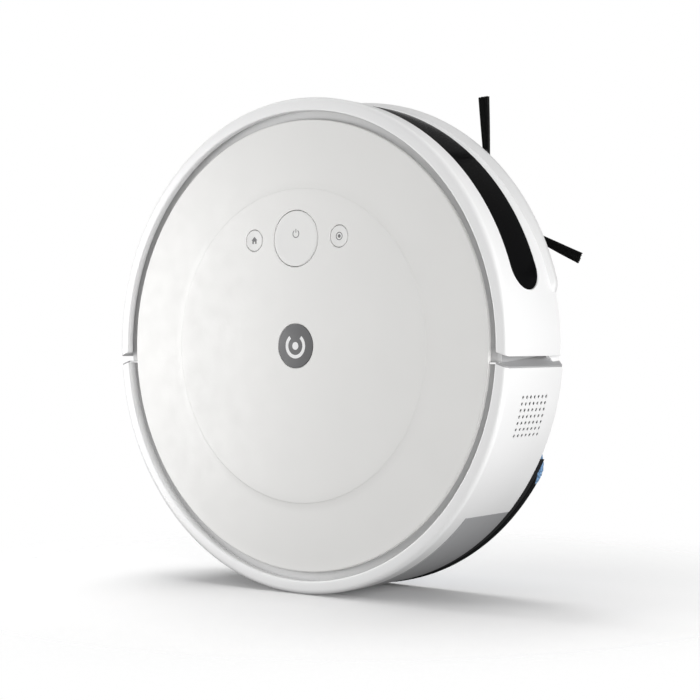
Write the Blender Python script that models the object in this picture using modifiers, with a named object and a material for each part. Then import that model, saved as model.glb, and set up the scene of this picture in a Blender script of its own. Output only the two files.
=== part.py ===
"""Round two-in-one robot vacuum and mop, built as separate pieces on their real joints.

Metres, +Z up. The robot stands on its wheels and mop pad with the floor at z = 0,
its front towards -Y and its right side towards -X. Everything hangs on one empty
at the centre of the round shell.
"""

import math

import bmesh
import bpy
from mathutils import Matrix, Vector

MM = 0.001
GAP = 0.3 * MM

# Round shell.
AXIS_X = 5.5 * MM  # the side brush reaches past the shell, so the shell sits off centre
SHELL_RADIUS = 170 * MM
SHELL_WALL = 2.6 * MM
RING_TOP = 80.6 * MM
RING_INNER_RADIUS = 160.8 * MM
RING_UNDERSIDE = 77.6 * MM
SHELL_BOTTOM = 11 * MM
BUMPER_BOTTOM = 14.5 * MM
LIP_RADIUS = 173 * MM
LIP_END_Y = -35 * MM
BUMPER_END = 3.4 * MM
REAR_START = 10.6 * MM
END_SLANT = 0.32
SHELL_STEPS = 48
TALL = 100 * MM  # above everything, for cutters that go right through

# Top plate and its controls.
PLATE_RADIUS = 155 * MM
PLATE_EDGE_TOP = 78.4 * MM
PLATE_DOME = 2.4 * MM
PLATE_THICKNESS = 2.4 * MM
INNER_DISC_RADIUS = 108 * MM
INNER_STEP = 0.35 * MM
CONTROL_ROW_Y = -73.7 * MM
SMALL_BUTTON_X = 37.5 * MM
CLEAN_RADIUS = 19.2 * MM
SMALL_RADIUS = 7.3 * MM
EMBLEM_RADIUS = 15.1 * MM
EMBLEM_RECESS = 0.9 * MM

# Black sensor window in the bumper.
WINDOW_HEIGHT = 32 * MM
WINDOW_MIDDLE = 48 * MM
WINDOW_END_ANGLE = math.radians(12)

# Speaker holes in the rear shell.
GRILLE_ROWS = 7
GRILLE_FIRST_ANGLE = math.radians(11.3)
GRILLE_LAST_ANGLE = math.radians(20)
GRILLE_TOP = 56.6 * MM
GRILLE_BOTTOM = 28 * MM
GRILLE_HOLE_RADIUS = 1.05 * MM

# Inner frame and chassis.
FRAME_RADIUS = 162.6 * MM
FRAME_WALL = 2 * MM
GROOVE_FLOOR = 74.5 * MM
CHASSIS_RADIUS = 166 * MM
CHASSIS_THICKNESS = 2.5 * MM
CHASSIS_TOP = SHELL_BOTTOM + CHASSIS_THICKNESS

# Drive wheels on their swinging arms.
WHEEL_RADIUS = 35 * MM
WHEEL_X = 109 * MM
WHEEL_WIDTH = 18 * MM
WHEEL_Y = 28 * MM
HUB_RADIUS = 27 * MM
ARM_X = 90 * MM
ARM_THICKNESS = 12 * MM
ARM_PIVOT_Y = -24 * MM
ARM_PIVOT_Z = 40 * MM
SPRING_Y = WHEEL_Y - 7 * MM

# Main brush, its gears and its chamber.
BRUSH_Y = 48 * MM
BRUSH_Z = 20 * MM
BRUSH_RADIUS = 17.5 * MM
BRUSH_CORE = 9 * MM
BRUSH_HALF = 74 * MM
GEAR_MODULE = 1 * MM
GEAR_TEETH = 20
PINION_TEETH = 12
GEAR_X = -81.3 * MM
GEAR_WIDTH = 4.4 * MM
SHAFT_END = GEAR_X - GEAR_WIDTH / 2 - 0.2 * MM
IDLER_Z = BRUSH_Z + GEAR_MODULE * GEAR_TEETH
PINION_Z = IDLER_Z + GEAR_MODULE * (GEAR_TEETH + PINION_TEETH) / 2

# Side brush.
SIDE_BRUSH_X = -110.5 * MM
SIDE_BRUSH_Y = -90 * MM
SIDE_BRUSH_REACH = 77.5 * MM
SIDE_BRUSH_FIRST = math.radians(272.9)

# Caster.
CASTER_Y = -125 * MM
CASTER_TRAIL = 5 * MM
CASTER_RADIUS = 11 * MM
CASTER_WIDTH = 14 * MM

# Dust bin with its water tank, and the mop under it.
BIN_HALF = 127.5 * MM
BIN_FRONT = 74.5 * MM
BIN_BOTTOM = SHELL_BOTTOM + GAP
BIN_TOP = 64.5 * MM
BIN_WALL = 2 * MM
LID_THICKNESS = 2 * MM
TANK_EDGE = -60 * MM
MOP_FRONT = 76 * MM
MOP_RADIUS = 169.5 * MM
MOP_PLATE_BOTTOM = 4.3 * MM
MOP_PLATE_TOP = 10.6 * MM
PAD_RADIUS = 168 * MM
PAD_TOP = 4 * MM

# Blower.
BLOWER_X = 8 * MM
BLOWER_Y = -8 * MM
BLOWER_RADIUS = 30 * MM
BLOWER_BOTTOM = 16 * MM
BLOWER_TOP = 50 * MM

WHITE = ((0.84, 0.84, 0.83), 0.38, 0.0)
SOFT_WHITE = ((0.78, 0.78, 0.77), 0.45, 0.0)
GREY = ((0.32, 0.32, 0.33), 0.5, 0.0)
CHARCOAL = ((0.03, 0.03, 0.033), 0.55, 0.0)
BLACK_GLOSS = ((0.006, 0.006, 0.007), 0.12, 0.0)
SMOKE = ((0.2, 0.21, 0.22), 0.2, 0.0)
RUBBER = ((0.02, 0.02, 0.02), 0.8, 0.0)
BRISTLE = ((0.012, 0.012, 0.012), 0.7, 0.0)
BLUE_CLOTH = ((0.1, 0.22, 0.55), 0.95, 0.0)
STEEL = ((0.6, 0.6, 0.6), 0.3, 1.0)
GOLD = ((0.8, 0.6, 0.25), 0.3, 1.0)
BOARD_GREEN = ((0.02, 0.16, 0.07), 0.5, 0.0)
ACETAL = ((0.7, 0.69, 0.65), 0.45, 0.0)
FILTER_WHITE = ((0.7, 0.72, 0.7), 0.9, 0.0)


def clear_scene():
    for obj in list(bpy.data.objects):
        bpy.data.objects.remove(obj, do_unlink=True)


def new_collection(name):
    made = bpy.data.collections.new(name)
    bpy.context.scene.collection.children.link(made)
    return made


def material(name, look):
    colour, roughness, metallic = look
    made = bpy.data.materials.new(name)
    made.use_nodes = True
    shader = made.node_tree.nodes["Principled BSDF"]
    shader.inputs["Base Color"].default_value = (*colour, 1)
    shader.inputs["Roughness"].default_value = roughness
    shader.inputs["Metallic"].default_value = metallic
    return made


def put(name, mesh, look=None):
    """One object on the shell's axis: a piece if it has a look, else a cutter."""
    obj = bpy.data.objects.new(name, mesh)
    obj.parent = AXIS
    if look:
        PIECES.objects.link(obj)
        mesh.materials.append(material(name, look))
        mesh.shade_smooth()
        mesh.set_sharp_from_angle(angle=math.radians(35))
    else:
        CUTTERS.objects.link(obj)
        obj.hide_render = True
        obj.display_type = "WIRE"
    return obj


def mesh_from(name, bm):
    mesh = bpy.data.meshes.new(name)
    bm.to_mesh(mesh)
    bm.free()
    return mesh


def box_mesh(name, low, high, bevel=0.0):
    """A block between two corners, with rounded edges if a bevel is given."""
    bm = bmesh.new()
    bmesh.ops.create_cube(bm, size=1)
    size = Vector(high) - Vector(low)
    middle = (Vector(high) + Vector(low)) / 2
    bmesh.ops.scale(bm, vec=size, verts=bm.verts)
    bmesh.ops.translate(bm, vec=middle, verts=bm.verts)
    if bevel:
        bmesh.ops.bevel(bm, geom=bm.edges[:], offset=bevel, segments=2, affect="EDGES")
    return mesh_from(name, bm)


def rod_mesh(name, radius, start, end, sides=24, end_radius=None):
    """A round bar from start to end, tapered if an end radius is given."""
    start, end = Vector(start), Vector(end)
    along = end - start
    bm = bmesh.new()
    place = Matrix.Translation((start + end) / 2) @ along.to_track_quat("Z", "Y").to_matrix().to_4x4()
    bmesh.ops.create_cone(
        bm,
        cap_ends=True,
        segments=sides,
        radius1=radius,
        radius2=radius if end_radius is None else end_radius,
        depth=along.length,
        matrix=place,
    )
    return mesh_from(name, bm)


def slab_mesh(name, outline, bottom, top):
    """A flat outline, counter-clockwise in X and Y, raised from bottom to top."""
    bm = bmesh.new()
    face = bm.faces.new([bm.verts.new((x, y, bottom)) for x, y in outline])
    raised = bmesh.ops.extrude_face_region(bm, geom=[face])
    moved = [v for v in raised["geom"] if isinstance(v, bmesh.types.BMVert)]
    bmesh.ops.translate(bm, vec=(0, 0, top - bottom), verts=moved)
    bmesh.ops.recalc_face_normals(bm, faces=bm.faces)
    return mesh_from(name, bm)


def profile_mesh(name, points, closed):
    """Edges through radius and height pairs, ready for a Screw."""
    bm = bmesh.new()
    verts = [bm.verts.new((r, 0, z)) for r, z in points]
    ends = len(verts) if closed else len(verts) - 1
    for i in range(ends):
        bm.edges.new((verts[i], verts[(i + 1) % len(verts)]))
    return mesh_from(name, bm)


def turned(name, points, look=None, closed=True, steps=SHELL_STEPS, at=(0, 0, 0)):
    """A turned shape. Its profile runs down the outer side and back up the inner side."""
    obj = put(name, profile_mesh(name, points, closed), look)
    obj.location = at
    screw = obj.modifiers.new("Turn", "SCREW")
    screw.steps = screw.render_steps = steps
    screw.use_merge_vertices = True
    screw.merge_threshold = 0.00001
    screw.use_smooth_shade = True
    return obj


def boolean(obj, other, operation):
    modifier = obj.modifiers.new(f"{operation.title()} {other.name}", "BOOLEAN")
    modifier.operation = operation
    modifier.object = other
    modifier.solver = "EXACT"


def cut(obj, *cutters):
    for cutter in cutters:
        boolean(obj, cutter, "DIFFERENCE")


def join(obj, *tools):
    for tool in tools:
        boolean(obj, tool, "UNION")


def box(name, low, high, look=None, bevel=0.0):
    return put(name, box_mesh(name, low, high, bevel), look)


def rod(name, radius, start, end, look=None, sides=24, end_radius=None):
    return put(name, rod_mesh(name, radius, start, end, sides, end_radius), look)


def slab(name, outline, bottom, top, look=None):
    return put(name, slab_mesh(name, outline, bottom, top), look)


def coil(name, radius, wire, turns, start, length, along, look):
    """A compression spring whose axis runs from start in the direction along."""
    points_per_turn = 8
    count = turns * points_per_turn
    turn = Vector(along).to_track_quat("Z", "Y")
    curve = bpy.data.curves.new(name, "CURVE")
    curve.dimensions = "3D"
    curve.bevel_depth = wire / 2
    curve.bevel_resolution = 0
    curve.use_fill_caps = True
    spline = curve.splines.new("POLY")
    spline.points.add(count)
    for i in range(count + 1):
        angle = 2 * math.pi * i / points_per_turn
        height = length * i / count
        at = Vector((radius * math.cos(angle), radius * math.sin(angle), height))
        spline.points[i].co = (*(turn @ at + Vector(start)), 1)
    curve.materials.append(material(name, look))
    obj = bpy.data.objects.new(name, curve)
    obj.parent = AXIS
    PIECES.objects.link(obj)
    return obj


def polar(radius, angle):
    return (radius * math.cos(angle), radius * math.sin(angle))


def dome_height(radius):
    """Height of the plate's top face at a distance from its centre."""
    height = PLATE_EDGE_TOP + PLATE_DOME * (1 - (radius / PLATE_RADIUS) ** 2)
    return height + (INNER_STEP if radius < INNER_DISC_RADIUS else 0)


def dome_profile(top_offset, bottom_offset, edge):
    """The domed plate's profile from the top centre round its rim to the bottom centre."""
    step_in = INNER_DISC_RADIUS - 0.4 * MM
    step_out = INNER_DISC_RADIUS + 0.4 * MM
    radii = [0, 55 * MM, step_in, step_out, 135 * MM]
    rim = 0.9 * MM
    top = [(r, dome_height(r) + top_offset) for r in radii]
    top.append((edge - rim, dome_height(edge) + top_offset))
    top.append((edge, dome_height(edge) + top_offset - rim))
    under = [edge, 80 * MM, 0]
    bottom = [(r, dome_height(max(r, INNER_DISC_RADIUS)) - bottom_offset) for r in under]
    return top + bottom


def ring_profile(bottom, lip_bottom):
    """Section of the outer ring and wall, shared by the bumper and the rear shell."""
    outer, inner = SHELL_RADIUS, SHELL_RADIUS - SHELL_WALL
    round_off = [(3.6, 0), (1.5, 0.5), (0.4, 1.6), (0, 3.4)]
    top = [(outer - across * MM, RING_TOP - down * MM) for across, down in round_off]
    foot = [(outer, bottom + 3 * MM), (outer - 1.4 * MM, bottom), (inner, bottom)]
    underside = [(inner, RING_UNDERSIDE - 2 * MM), (inner - 2 * MM, RING_UNDERSIDE)]
    lip_outer = RING_INNER_RADIUS + 2 * MM
    lip = [(lip_outer, RING_UNDERSIDE), (lip_outer, lip_bottom), (RING_INNER_RADIUS, lip_bottom)]
    crown = [(RING_INNER_RADIUS, RING_TOP - 1.2 * MM), (RING_INNER_RADIUS + 1.2 * MM, RING_TOP)]
    return top + foot + underside + lip + crown


def half_plan(edge_y, front):
    """Plan outline of everything ahead of, or behind, the split line at the sides."""
    far = 200 * MM
    inner, outer = 158 * MM, 180 * MM
    slant = (outer - inner) * END_SLANT
    split = [(-outer, edge_y + slant), (-inner, edge_y), (inner, edge_y), (outer, edge_y + slant)]
    if front:
        return split[::-1] + [(-outer, -far), (outer, -far)]
    return split + [(outer, far), (-outer, far)]


def window_shape(name, half_height, outer):
    """The band of the sensor window round the front, with round ends, as a loft of sections."""
    inner = 160 * MM
    first = WINDOW_END_ANGLE + (WINDOW_HEIGHT / 2 - half_height) / SHELL_RADIUS
    round_angle = half_height / SHELL_RADIUS
    end_steps, middle_steps = 5, 26
    stations = []
    for i in range(1, end_steps + 1):
        swing = math.pi / 2 * i / end_steps
        stations.append((first + round_angle * (1 - math.cos(swing)), half_height * math.sin(swing)))
    span = math.pi - 2 * stations[-1][0]
    start = stations[-1][0]
    back = [(math.pi - angle, half) for angle, half in stations[::-1]]
    stations += [(start + span * i / middle_steps, half_height) for i in range(1, middle_steps)]
    stations += back
    bm = bmesh.new()
    sections = []
    for angle, half in stations:
        corners = ((outer, half), (outer, -half), (inner, -half), (inner, half))
        around = math.pi + angle
        sections.append(
            [bm.verts.new((*polar(radius, around), WINDOW_MIDDLE + rise)) for radius, rise in corners]
        )
    for a, b in zip(sections, sections[1:]):
        for i in range(4):
            j = (i + 1) % 4
            bm.faces.new((a[i], a[j], b[j], b[i]))
    bm.faces.new(sections[0])
    bm.faces.new(sections[-1])
    bmesh.ops.recalc_face_normals(bm, faces=bm.faces)
    return put(name, mesh_from(name, bm))


def make_bumper():
    bumper = turned("bumper", ring_profile(BUMPER_BOTTOM, RING_UNDERSIDE - 1.4 * MM), WHITE)
    cut(bumper, slab("behind_bumper", half_plan(BUMPER_END, front=False), 0, TALL))
    root = SHELL_RADIUS - 1 * MM
    slope_top, slope_foot = BUMPER_BOTTOM + 9.5 * MM, BUMPER_BOTTOM + 3.5 * MM
    lip_profile = [
        (root, slope_top),
        (SHELL_RADIUS, slope_top),
        (LIP_RADIUS, slope_foot),
        (LIP_RADIUS, BUMPER_BOTTOM + 1.1 * MM),
        (LIP_RADIUS - 1.4 * MM, BUMPER_BOTTOM),
        (root, BUMPER_BOTTOM),
    ]
    lip = turned("bumper_lip", lip_profile)
    cut(lip, box("behind_lip", (-200 * MM, LIP_END_Y, 0), (200 * MM, 200 * MM, TALL)))
    join(bumper, lip)
    cut(bumper, window_shape("window_opening", WINDOW_HEIGHT / 2, 173 * MM))
    outer, inner = SHELL_RADIUS - 0.4 * MM, SHELL_RADIUS - SHELL_WALL
    low = WINDOW_MIDDLE - WINDOW_HEIGHT / 2
    high = WINDOW_MIDDLE + WINDOW_HEIGHT / 2
    window = turned(
        "sensor_window", [(outer, high), (outer, low), (inner, low), (inner, high)], BLACK_GLOSS
    )
    boolean(window, window_shape("window_outline", WINDOW_HEIGHT / 2 - GAP, 176 * MM), "INTERSECT")


def bin_opening(name, margin, bottom):
    return box(
        name,
        (-BIN_HALF - margin, BIN_FRONT - 1.5 * MM, bottom),
        (BIN_HALF + margin, 200 * MM, BIN_TOP + margin),
    )


def grille_cutter():
    """All the speaker holes as one tool, in rows along the curved wall."""
    bm = bmesh.new()
    for column in range(GRILLE_ROWS):
        share = column / (GRILLE_ROWS - 1)
        angle = math.pi - GRILLE_FIRST_ANGLE - share * (GRILLE_LAST_ANGLE - GRILLE_FIRST_ANGLE)
        outward = Vector((*polar(1, angle), 0))
        turn = outward.to_track_quat("Z", "Y").to_matrix().to_4x4()
        for row in range(GRILLE_ROWS):
            height = GRILLE_BOTTOM + (GRILLE_TOP - GRILLE_BOTTOM) * row / (GRILLE_ROWS - 1)
            middle = outward * (SHELL_RADIUS - SHELL_WALL / 2) + Vector((0, 0, height))
            bmesh.ops.create_cone(
                bm,
                cap_ends=True,
                segments=4,
                radius1=GRILLE_HOLE_RADIUS,
                radius2=GRILLE_HOLE_RADIUS,
                depth=8 * MM,
                matrix=Matrix.Translation(middle) @ turn,
            )
    return put("grille_holes", mesh_from("grille_holes", bm))


def make_rear_shell():
    shell = turned("rear_shell", ring_profile(SHELL_BOTTOM, GROOVE_FLOOR + GAP), WHITE)
    cut(shell, slab("ahead_of_rear_shell", half_plan(REAR_START, front=True), 0, TALL))
    cut(shell, bin_opening("bin_opening_in_shell", 0.6 * MM, 0))
    cut(shell, grille_cutter())


def make_top_plate():
    plate = turned("top_plate", dome_profile(0, PLATE_THICKNESS, PLATE_RADIUS), WHITE, closed=False)
    caps = (
        ("clean_button", 0, CLEAN_RADIUS, 32),
        ("home_button", SMALL_BUTTON_X, SMALL_RADIUS, 16),
        ("spot_button", -SMALL_BUTTON_X, SMALL_RADIUS, 16),
    )
    for name, x, radius, sides in caps:
        low, high = (x, CONTROL_ROW_Y, 60 * MM), (x, CONTROL_ROW_Y, 95 * MM)
        cut(plate, rod(f"{name}_hole", radius + 0.4 * MM, low, high, sides=sides))
        make_button(name, x, radius, sides)
    centre = dome_height(0)
    recess = rod(
        "emblem_recess",
        EMBLEM_RADIUS + GAP,
        (0, 0, centre - EMBLEM_RECESS),
        (0, 0, centre + 5 * MM),
        sides=40,
    )
    cut(plate, recess)
    low, high = (0, 0, centre - EMBLEM_RECESS + GAP), (0, 0, centre + 0.1 * MM)
    rod("emblem_disc", EMBLEM_RADIUS, low, high, GREY, sides=40)


def make_button(name, x, radius, sides):
    """A cap flush with the plate, on a flange and a stem that presses its switch."""
    base = (x, CONTROL_ROW_Y)
    top = dome_height(math.hypot(*base)) - 0.1 * MM
    flange_top = PLATE_EDGE_TOP - 1.4 * MM
    flange_bottom = flange_top - 1.2 * MM
    cap = rod(name, radius, (*base, flange_top - 0.5 * MM), (*base, top), SOFT_WHITE, sides=sides)
    flange = rod(
        f"{name}_flange", radius + 1.6 * MM, (*base, flange_bottom), (*base, flange_top), sides=sides
    )
    stem = rod(f"{name}_stem", 2.5 * MM, (*base, 72.7 * MM), (*base, flange_top), sides=12)
    join(cap, flange, stem)


def make_inner_frame():
    """The inner frame: the grey wall behind the bumper and the groove round the plate."""
    outer, inner = FRAME_RADIUS, FRAME_RADIUS - FRAME_WALL
    ledge = 150 * MM
    foot = CHASSIS_TOP + GAP
    profile = [
        (outer, GROOVE_FLOOR),
        (outer, foot),
        (inner, foot),
        (inner, GROOVE_FLOOR - FRAME_WALL),
        (ledge, GROOVE_FLOOR - FRAME_WALL),
        (ledge, PLATE_EDGE_TOP - PLATE_THICKNESS - GAP),
        (ledge + 3 * MM, PLATE_EDGE_TOP - PLATE_THICKNESS - GAP),
        (ledge + 3 * MM, GROOVE_FLOOR),
    ]
    frame = turned("upper_housing", profile, GREY)
    cut(frame, bin_opening("bin_opening_in_frame", 1.2 * MM, 0))
    angle = math.pi - (GRILLE_FIRST_ANGLE + GRILLE_LAST_ANGLE) / 2
    middle = (GRILLE_TOP + GRILLE_BOTTOM) / 2
    cut(
        frame,
        rod("speaker_port", 16 * MM, (*polar(140 * MM, angle), middle), (*polar(165 * MM, angle), middle)),
    )
    for side in (-1, 1):
        at = (side * 40 * MM, -140 * MM, 45 * MM)
        cut(frame, rod(f"spring_port_{side}", 4 * MM, at, (at[0], -166 * MM, at[2]), sides=16))
    speaker = rod(
        "speaker",
        14 * MM,
        (*polar(149 * MM, angle), middle),
        (*polar(157.5 * MM, angle), middle),
        CHARCOAL,
        sides=28,
    )
    magnet_back, magnet_front = polar(142 * MM, angle), polar(151 * MM, angle)
    join(speaker, rod("speaker_magnet", 9 * MM, (*magnet_back, middle), (*magnet_front, middle)))


def cliff_places():
    angles = [math.radians(a) for a in (192, 242, 298, 348)]
    return [(*polar(148 * MM, angle), angle) for angle in angles]


def screw_places():
    return [(-84, -112), (84, -112)]


def turned_box(name, centre, angle, size, bottom, top, look=None):
    """A block turned about the vertical so that its long side follows the rim."""
    half_long, half_short = size[0] / 2, size[1] / 2
    bm = bmesh.new()
    bmesh.ops.create_cube(bm, size=1)
    bmesh.ops.scale(bm, vec=(2 * half_short, 2 * half_long, top - bottom), verts=bm.verts)
    bmesh.ops.rotate(bm, cent=(0, 0, 0), matrix=Matrix.Rotation(angle, 3, "Z"), verts=bm.verts)
    bmesh.ops.translate(bm, vec=(*centre, (top + bottom) / 2), verts=bm.verts)
    return put(name, mesh_from(name, bm), look)


def make_chassis():
    wall_outer = FRAME_RADIUS - FRAME_WALL - 1 * MM
    wall_inner = wall_outer - FRAME_WALL
    foot, crest = CHASSIS_TOP - 0.5 * MM, 24 * MM
    chassis = rod(
        "chassis", CHASSIS_RADIUS, (0, 0, SHELL_BOTTOM), (0, 0, CHASSIS_TOP), CHARCOAL, sides=SHELL_STEPS
    )
    rim_wall = [(wall_outer, crest), (wall_outer, foot), (wall_inner, foot), (wall_inner, crest)]
    join(chassis, turned("chassis_rim_wall", rim_wall))
    well_front, well_back = ARM_PIVOT_Y - 12 * MM, WHEEL_Y + WHEEL_RADIUS + 3 * MM
    for side in (-1, 1):
        name = "right" if side < 0 else "left"
        x_inner, x_outer = 82 * MM, 122 * MM
        corner_low = (min(side * x_inner, side * x_outer), well_front, 0)
        corner_high = (max(side * x_inner, side * x_outer), well_back, 30 * MM)
        cut(chassis, box(f"{name}_wheel_well", corner_low, corner_high))
        post_inner, post_outer = sorted((side * 75 * MM, side * 81.5 * MM))
        post = box(
            f"{name}_arm_post",
            (post_inner, ARM_PIVOT_Y - 7 * MM, CHASSIS_TOP - 0.5 * MM),
            (post_outer, ARM_PIVOT_Y + 7 * MM, ARM_PIVOT_Z + 7 * MM),
        )
        pin = rod(
            f"{name}_arm_pin",
            3 * MM,
            (side * 80 * MM, ARM_PIVOT_Y, ARM_PIVOT_Z),
            (side * 98 * MM, ARM_PIVOT_Y, ARM_PIVOT_Z),
            sides=16,
        )
        join(chassis, post, pin)
    cut(chassis, box("brush_opening", (-86 * MM, 26 * MM, 0), (82 * MM, 70 * MM, 30 * MM)))
    cut(chassis, rod("caster_hole", 21.5 * MM, (0, CASTER_Y, 0), (0, CASTER_Y, 30 * MM), sides=31))
    brush_at = (SIDE_BRUSH_X, SIDE_BRUSH_Y)
    cut(chassis, rod("side_brush_hole", 6 * MM, (*brush_at, 0), (*brush_at, 20 * MM), sides=24))
    cut(chassis, box("battery_hole", (-58.4 * MM, -101.4 * MM, 0), (58.4 * MM, -46.6 * MM, 20 * MM)))
    cut(chassis, bin_opening("bin_opening_in_chassis", 1.2 * MM, 0))
    make_floor_details(chassis)


def make_floor_details(chassis):
    """Screws, cliff sensor windows and charging contacts in the chassis floor."""
    for i, (x, y) in enumerate(screw_places(), start=1):
        x, y = x * MM, y * MM
        boss = rod(f"boss_{i}", 5 * MM, (x, y, CHASSIS_TOP - 0.5 * MM), (x, y, 26 * MM), sides=16)
        head = rod(f"screw_head_hole_{i}", 3.3 * MM, (x, y, 0), (x, y, 18 * MM), sides=16)
        shank = rod(f"screw_shank_hole_{i}", 1.9 * MM, (x, y, 10 * MM), (x, y, 40 * MM), sides=12)
        join(chassis, boss)
        cut(chassis, head, shank)
        screw = rod(f"chassis_screw_{i}", 2.9 * MM, (x, y, 14.8 * MM), (x, y, 17.6 * MM), STEEL, sides=16)
        join(screw, rod(f"screw_shank_{i}", 1.5 * MM, (x, y, 17 * MM), (x, y, 25.6 * MM), sides=12))
        slot = (x - 1.6 * MM, y - 0.4 * MM, 14 * MM), (x + 1.6 * MM, y + 0.4 * MM, 15.8 * MM)
        cross = (x - 0.4 * MM, y - 1.6 * MM, 14 * MM), (x + 0.4 * MM, y + 1.6 * MM, 15.8 * MM)
        cut(screw, box(f"screw_slot_{i}", *slot), box(f"screw_cross_{i}", *cross))
    for i, (x, y, angle) in enumerate(cliff_places(), start=1):
        hole = turned_box(f"cliff_hole_{i}", (x, y), angle, (18.6 * MM, 9.6 * MM), 0, 20 * MM)
        cut(chassis, hole)
        bottom, top = SHELL_BOTTOM - 0.2 * MM, CHASSIS_TOP + 1 * MM
        turned_box(f"cliff_window_{i}", (x, y), angle, (18 * MM, 9 * MM), bottom, top, BLACK_GLOSS)
    for name, x in (("right", -48 * MM), ("left", 48 * MM)):
        y, half_x, half_y = -119 * MM, 9 * MM, 3.5 * MM
        hole = (x - half_x - GAP, y - half_y - GAP, 0), (x + half_x + GAP, y + half_y + GAP, 20 * MM)
        cut(chassis, box(f"{name}_contact_hole", *hole))
        plate = (x - half_x, y - half_y, SHELL_BOTTOM - 0.4 * MM), (x + half_x, y + half_y, CHASSIS_TOP)
        box(f"charge_contact_{name}", *plate, GOLD, bevel=0.5 * MM)


def make_battery():
    box("battery", (-55 * MM, -99 * MM, 15 * MM), (55 * MM, -49 * MM, 43 * MM), CHARCOAL, bevel=3 * MM)
    box(
        "battery_door",
        (-58 * MM, -101 * MM, SHELL_BOTTOM),
        (58 * MM, -47 * MM, SHELL_BOTTOM + 2.2 * MM),
        CHARCOAL,
        bevel=0.4 * MM,
    )


def make_main_board():
    top = 70.6 * MM
    board = box("main_board", (-75 * MM, -112 * MM, 69 * MM), (75 * MM, -48 * MM, top), BOARD_GREEN)
    for i, x in enumerate((-SMALL_BUTTON_X, 0, SMALL_BUTTON_X)):
        half = 3 * MM
        switch_low = (x - half, CONTROL_ROW_Y - half, top - 0.3 * MM)
        switch_high = (x + half, CONTROL_ROW_Y + half, top + 1 * MM)
        join(board, box(f"tact_switch_{i}", switch_low, switch_high))
    sunk = top - 0.3 * MM
    join(board, box("board_chip", (-30 * MM, -104 * MM, sunk), (-12 * MM, -88 * MM, top + 1.4 * MM)))
    join(board, box("board_plug", (50 * MM, -100 * MM, sunk), (70 * MM, -92 * MM, top + 2.5 * MM)))


def make_bumper_springs():
    for side, name in ((-1, "right"), (1, "left")):
        x = side * 40 * MM
        length = 6.2 * MM
        coil(
            f"bumper_spring_{name}",
            2.6 * MM,
            0.8 * MM,
            3,
            (x, -151 * MM, 45 * MM),
            length,
            (0, -1, 0),
            STEEL,
        )
        switch_x = side * 66 * MM
        body = box(
            f"bumper_switch_{name}",
            (switch_x - 7 * MM, -140 * MM, 30 * MM),
            (switch_x + 7 * MM, -132 * MM, 37 * MM),
            CHARCOAL,
            bevel=0.5 * MM,
        )
        lever = rod(
            f"{name}_switch_lever",
            1 * MM,
            (switch_x, -141 * MM + 2 * MM, 33.5 * MM),
            (switch_x, -144 * MM, 33.5 * MM),
            sides=8,
        )
        join(body, lever)


def capsule_outline(first, radius_first, second, radius_second, steps=10):
    """Outline round two circles in one plane, counter-clockwise."""
    first, second = Vector(first), Vector(second)
    along = second - first
    heading = math.atan2(along.y, along.x)
    spread = math.acos((radius_first - radius_second) / along.length)
    points = []
    for i in range(steps + 1):
        angle = heading + spread + (2 * math.pi - 2 * spread) * i / steps
        points.append(tuple(first + Vector(polar(radius_first, angle))))
    for i in range(steps + 1):
        angle = heading - spread + 2 * spread * i / steps
        points.append(tuple(second + Vector(polar(radius_second, angle))))
    return points


def stand_up(mesh, x_from):
    """Turns a slab drawn in plan so that its plan axes become Y and Z and its height X."""
    mesh.transform(Matrix(((0, 0, 1, x_from), (1, 0, 0, 0), (0, 1, 0, 0), (0, 0, 0, 1))))


def make_drive(side):
    name = "right" if side < 0 else "left"
    wheel_at = (WHEEL_Y, WHEEL_RADIUS)
    pivot = (ARM_PIVOT_Y, ARM_PIVOT_Z)
    outline = capsule_outline(pivot, 9 * MM, wheel_at, 20 * MM)
    mesh = slab_mesh(f"{name}_wheel_arm", outline, -ARM_THICKNESS / 2, ARM_THICKNESS / 2)
    stand_up(mesh, side * ARM_X)
    arm = put(f"{name}_wheel_arm", mesh, CHARCOAL)
    near, far = side * 70 * MM, side * 130 * MM
    cut(arm, rod(f"{name}_arm_bore", 3.4 * MM, (near, *pivot), (far, *pivot), sides=16))
    cut(arm, rod(f"{name}_shaft_bore", 4.4 * MM, (near, *wheel_at), (far, *wheel_at), sides=16))
    motor_at = (ARM_PIVOT_Y + 20 * MM, ARM_PIVOT_Z + 6 * MM)
    inner = side * (ARM_X - ARM_THICKNESS / 2 - GAP)
    motor = rod(
        f"{name}_wheel_motor", 11 * MM, (side * 51 * MM, *motor_at), (inner, *motor_at), STEEL, sides=24
    )
    boss_end, boss_root = side * 48 * MM, side * 53 * MM
    join(motor, rod(f"{name}_motor_boss", 4 * MM, (boss_end, *motor_at), (boss_root, *motor_at), sides=12))
    make_wheel(name, side, wheel_at)
    coil(
        f"suspension_spring_{name}",
        4.2 * MM,
        1 * MM,
        3,
        (side * ARM_X, SPRING_Y, 56.6 * MM),
        14 * MM,
        (0, 0, 1),
        STEEL,
    )


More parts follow.
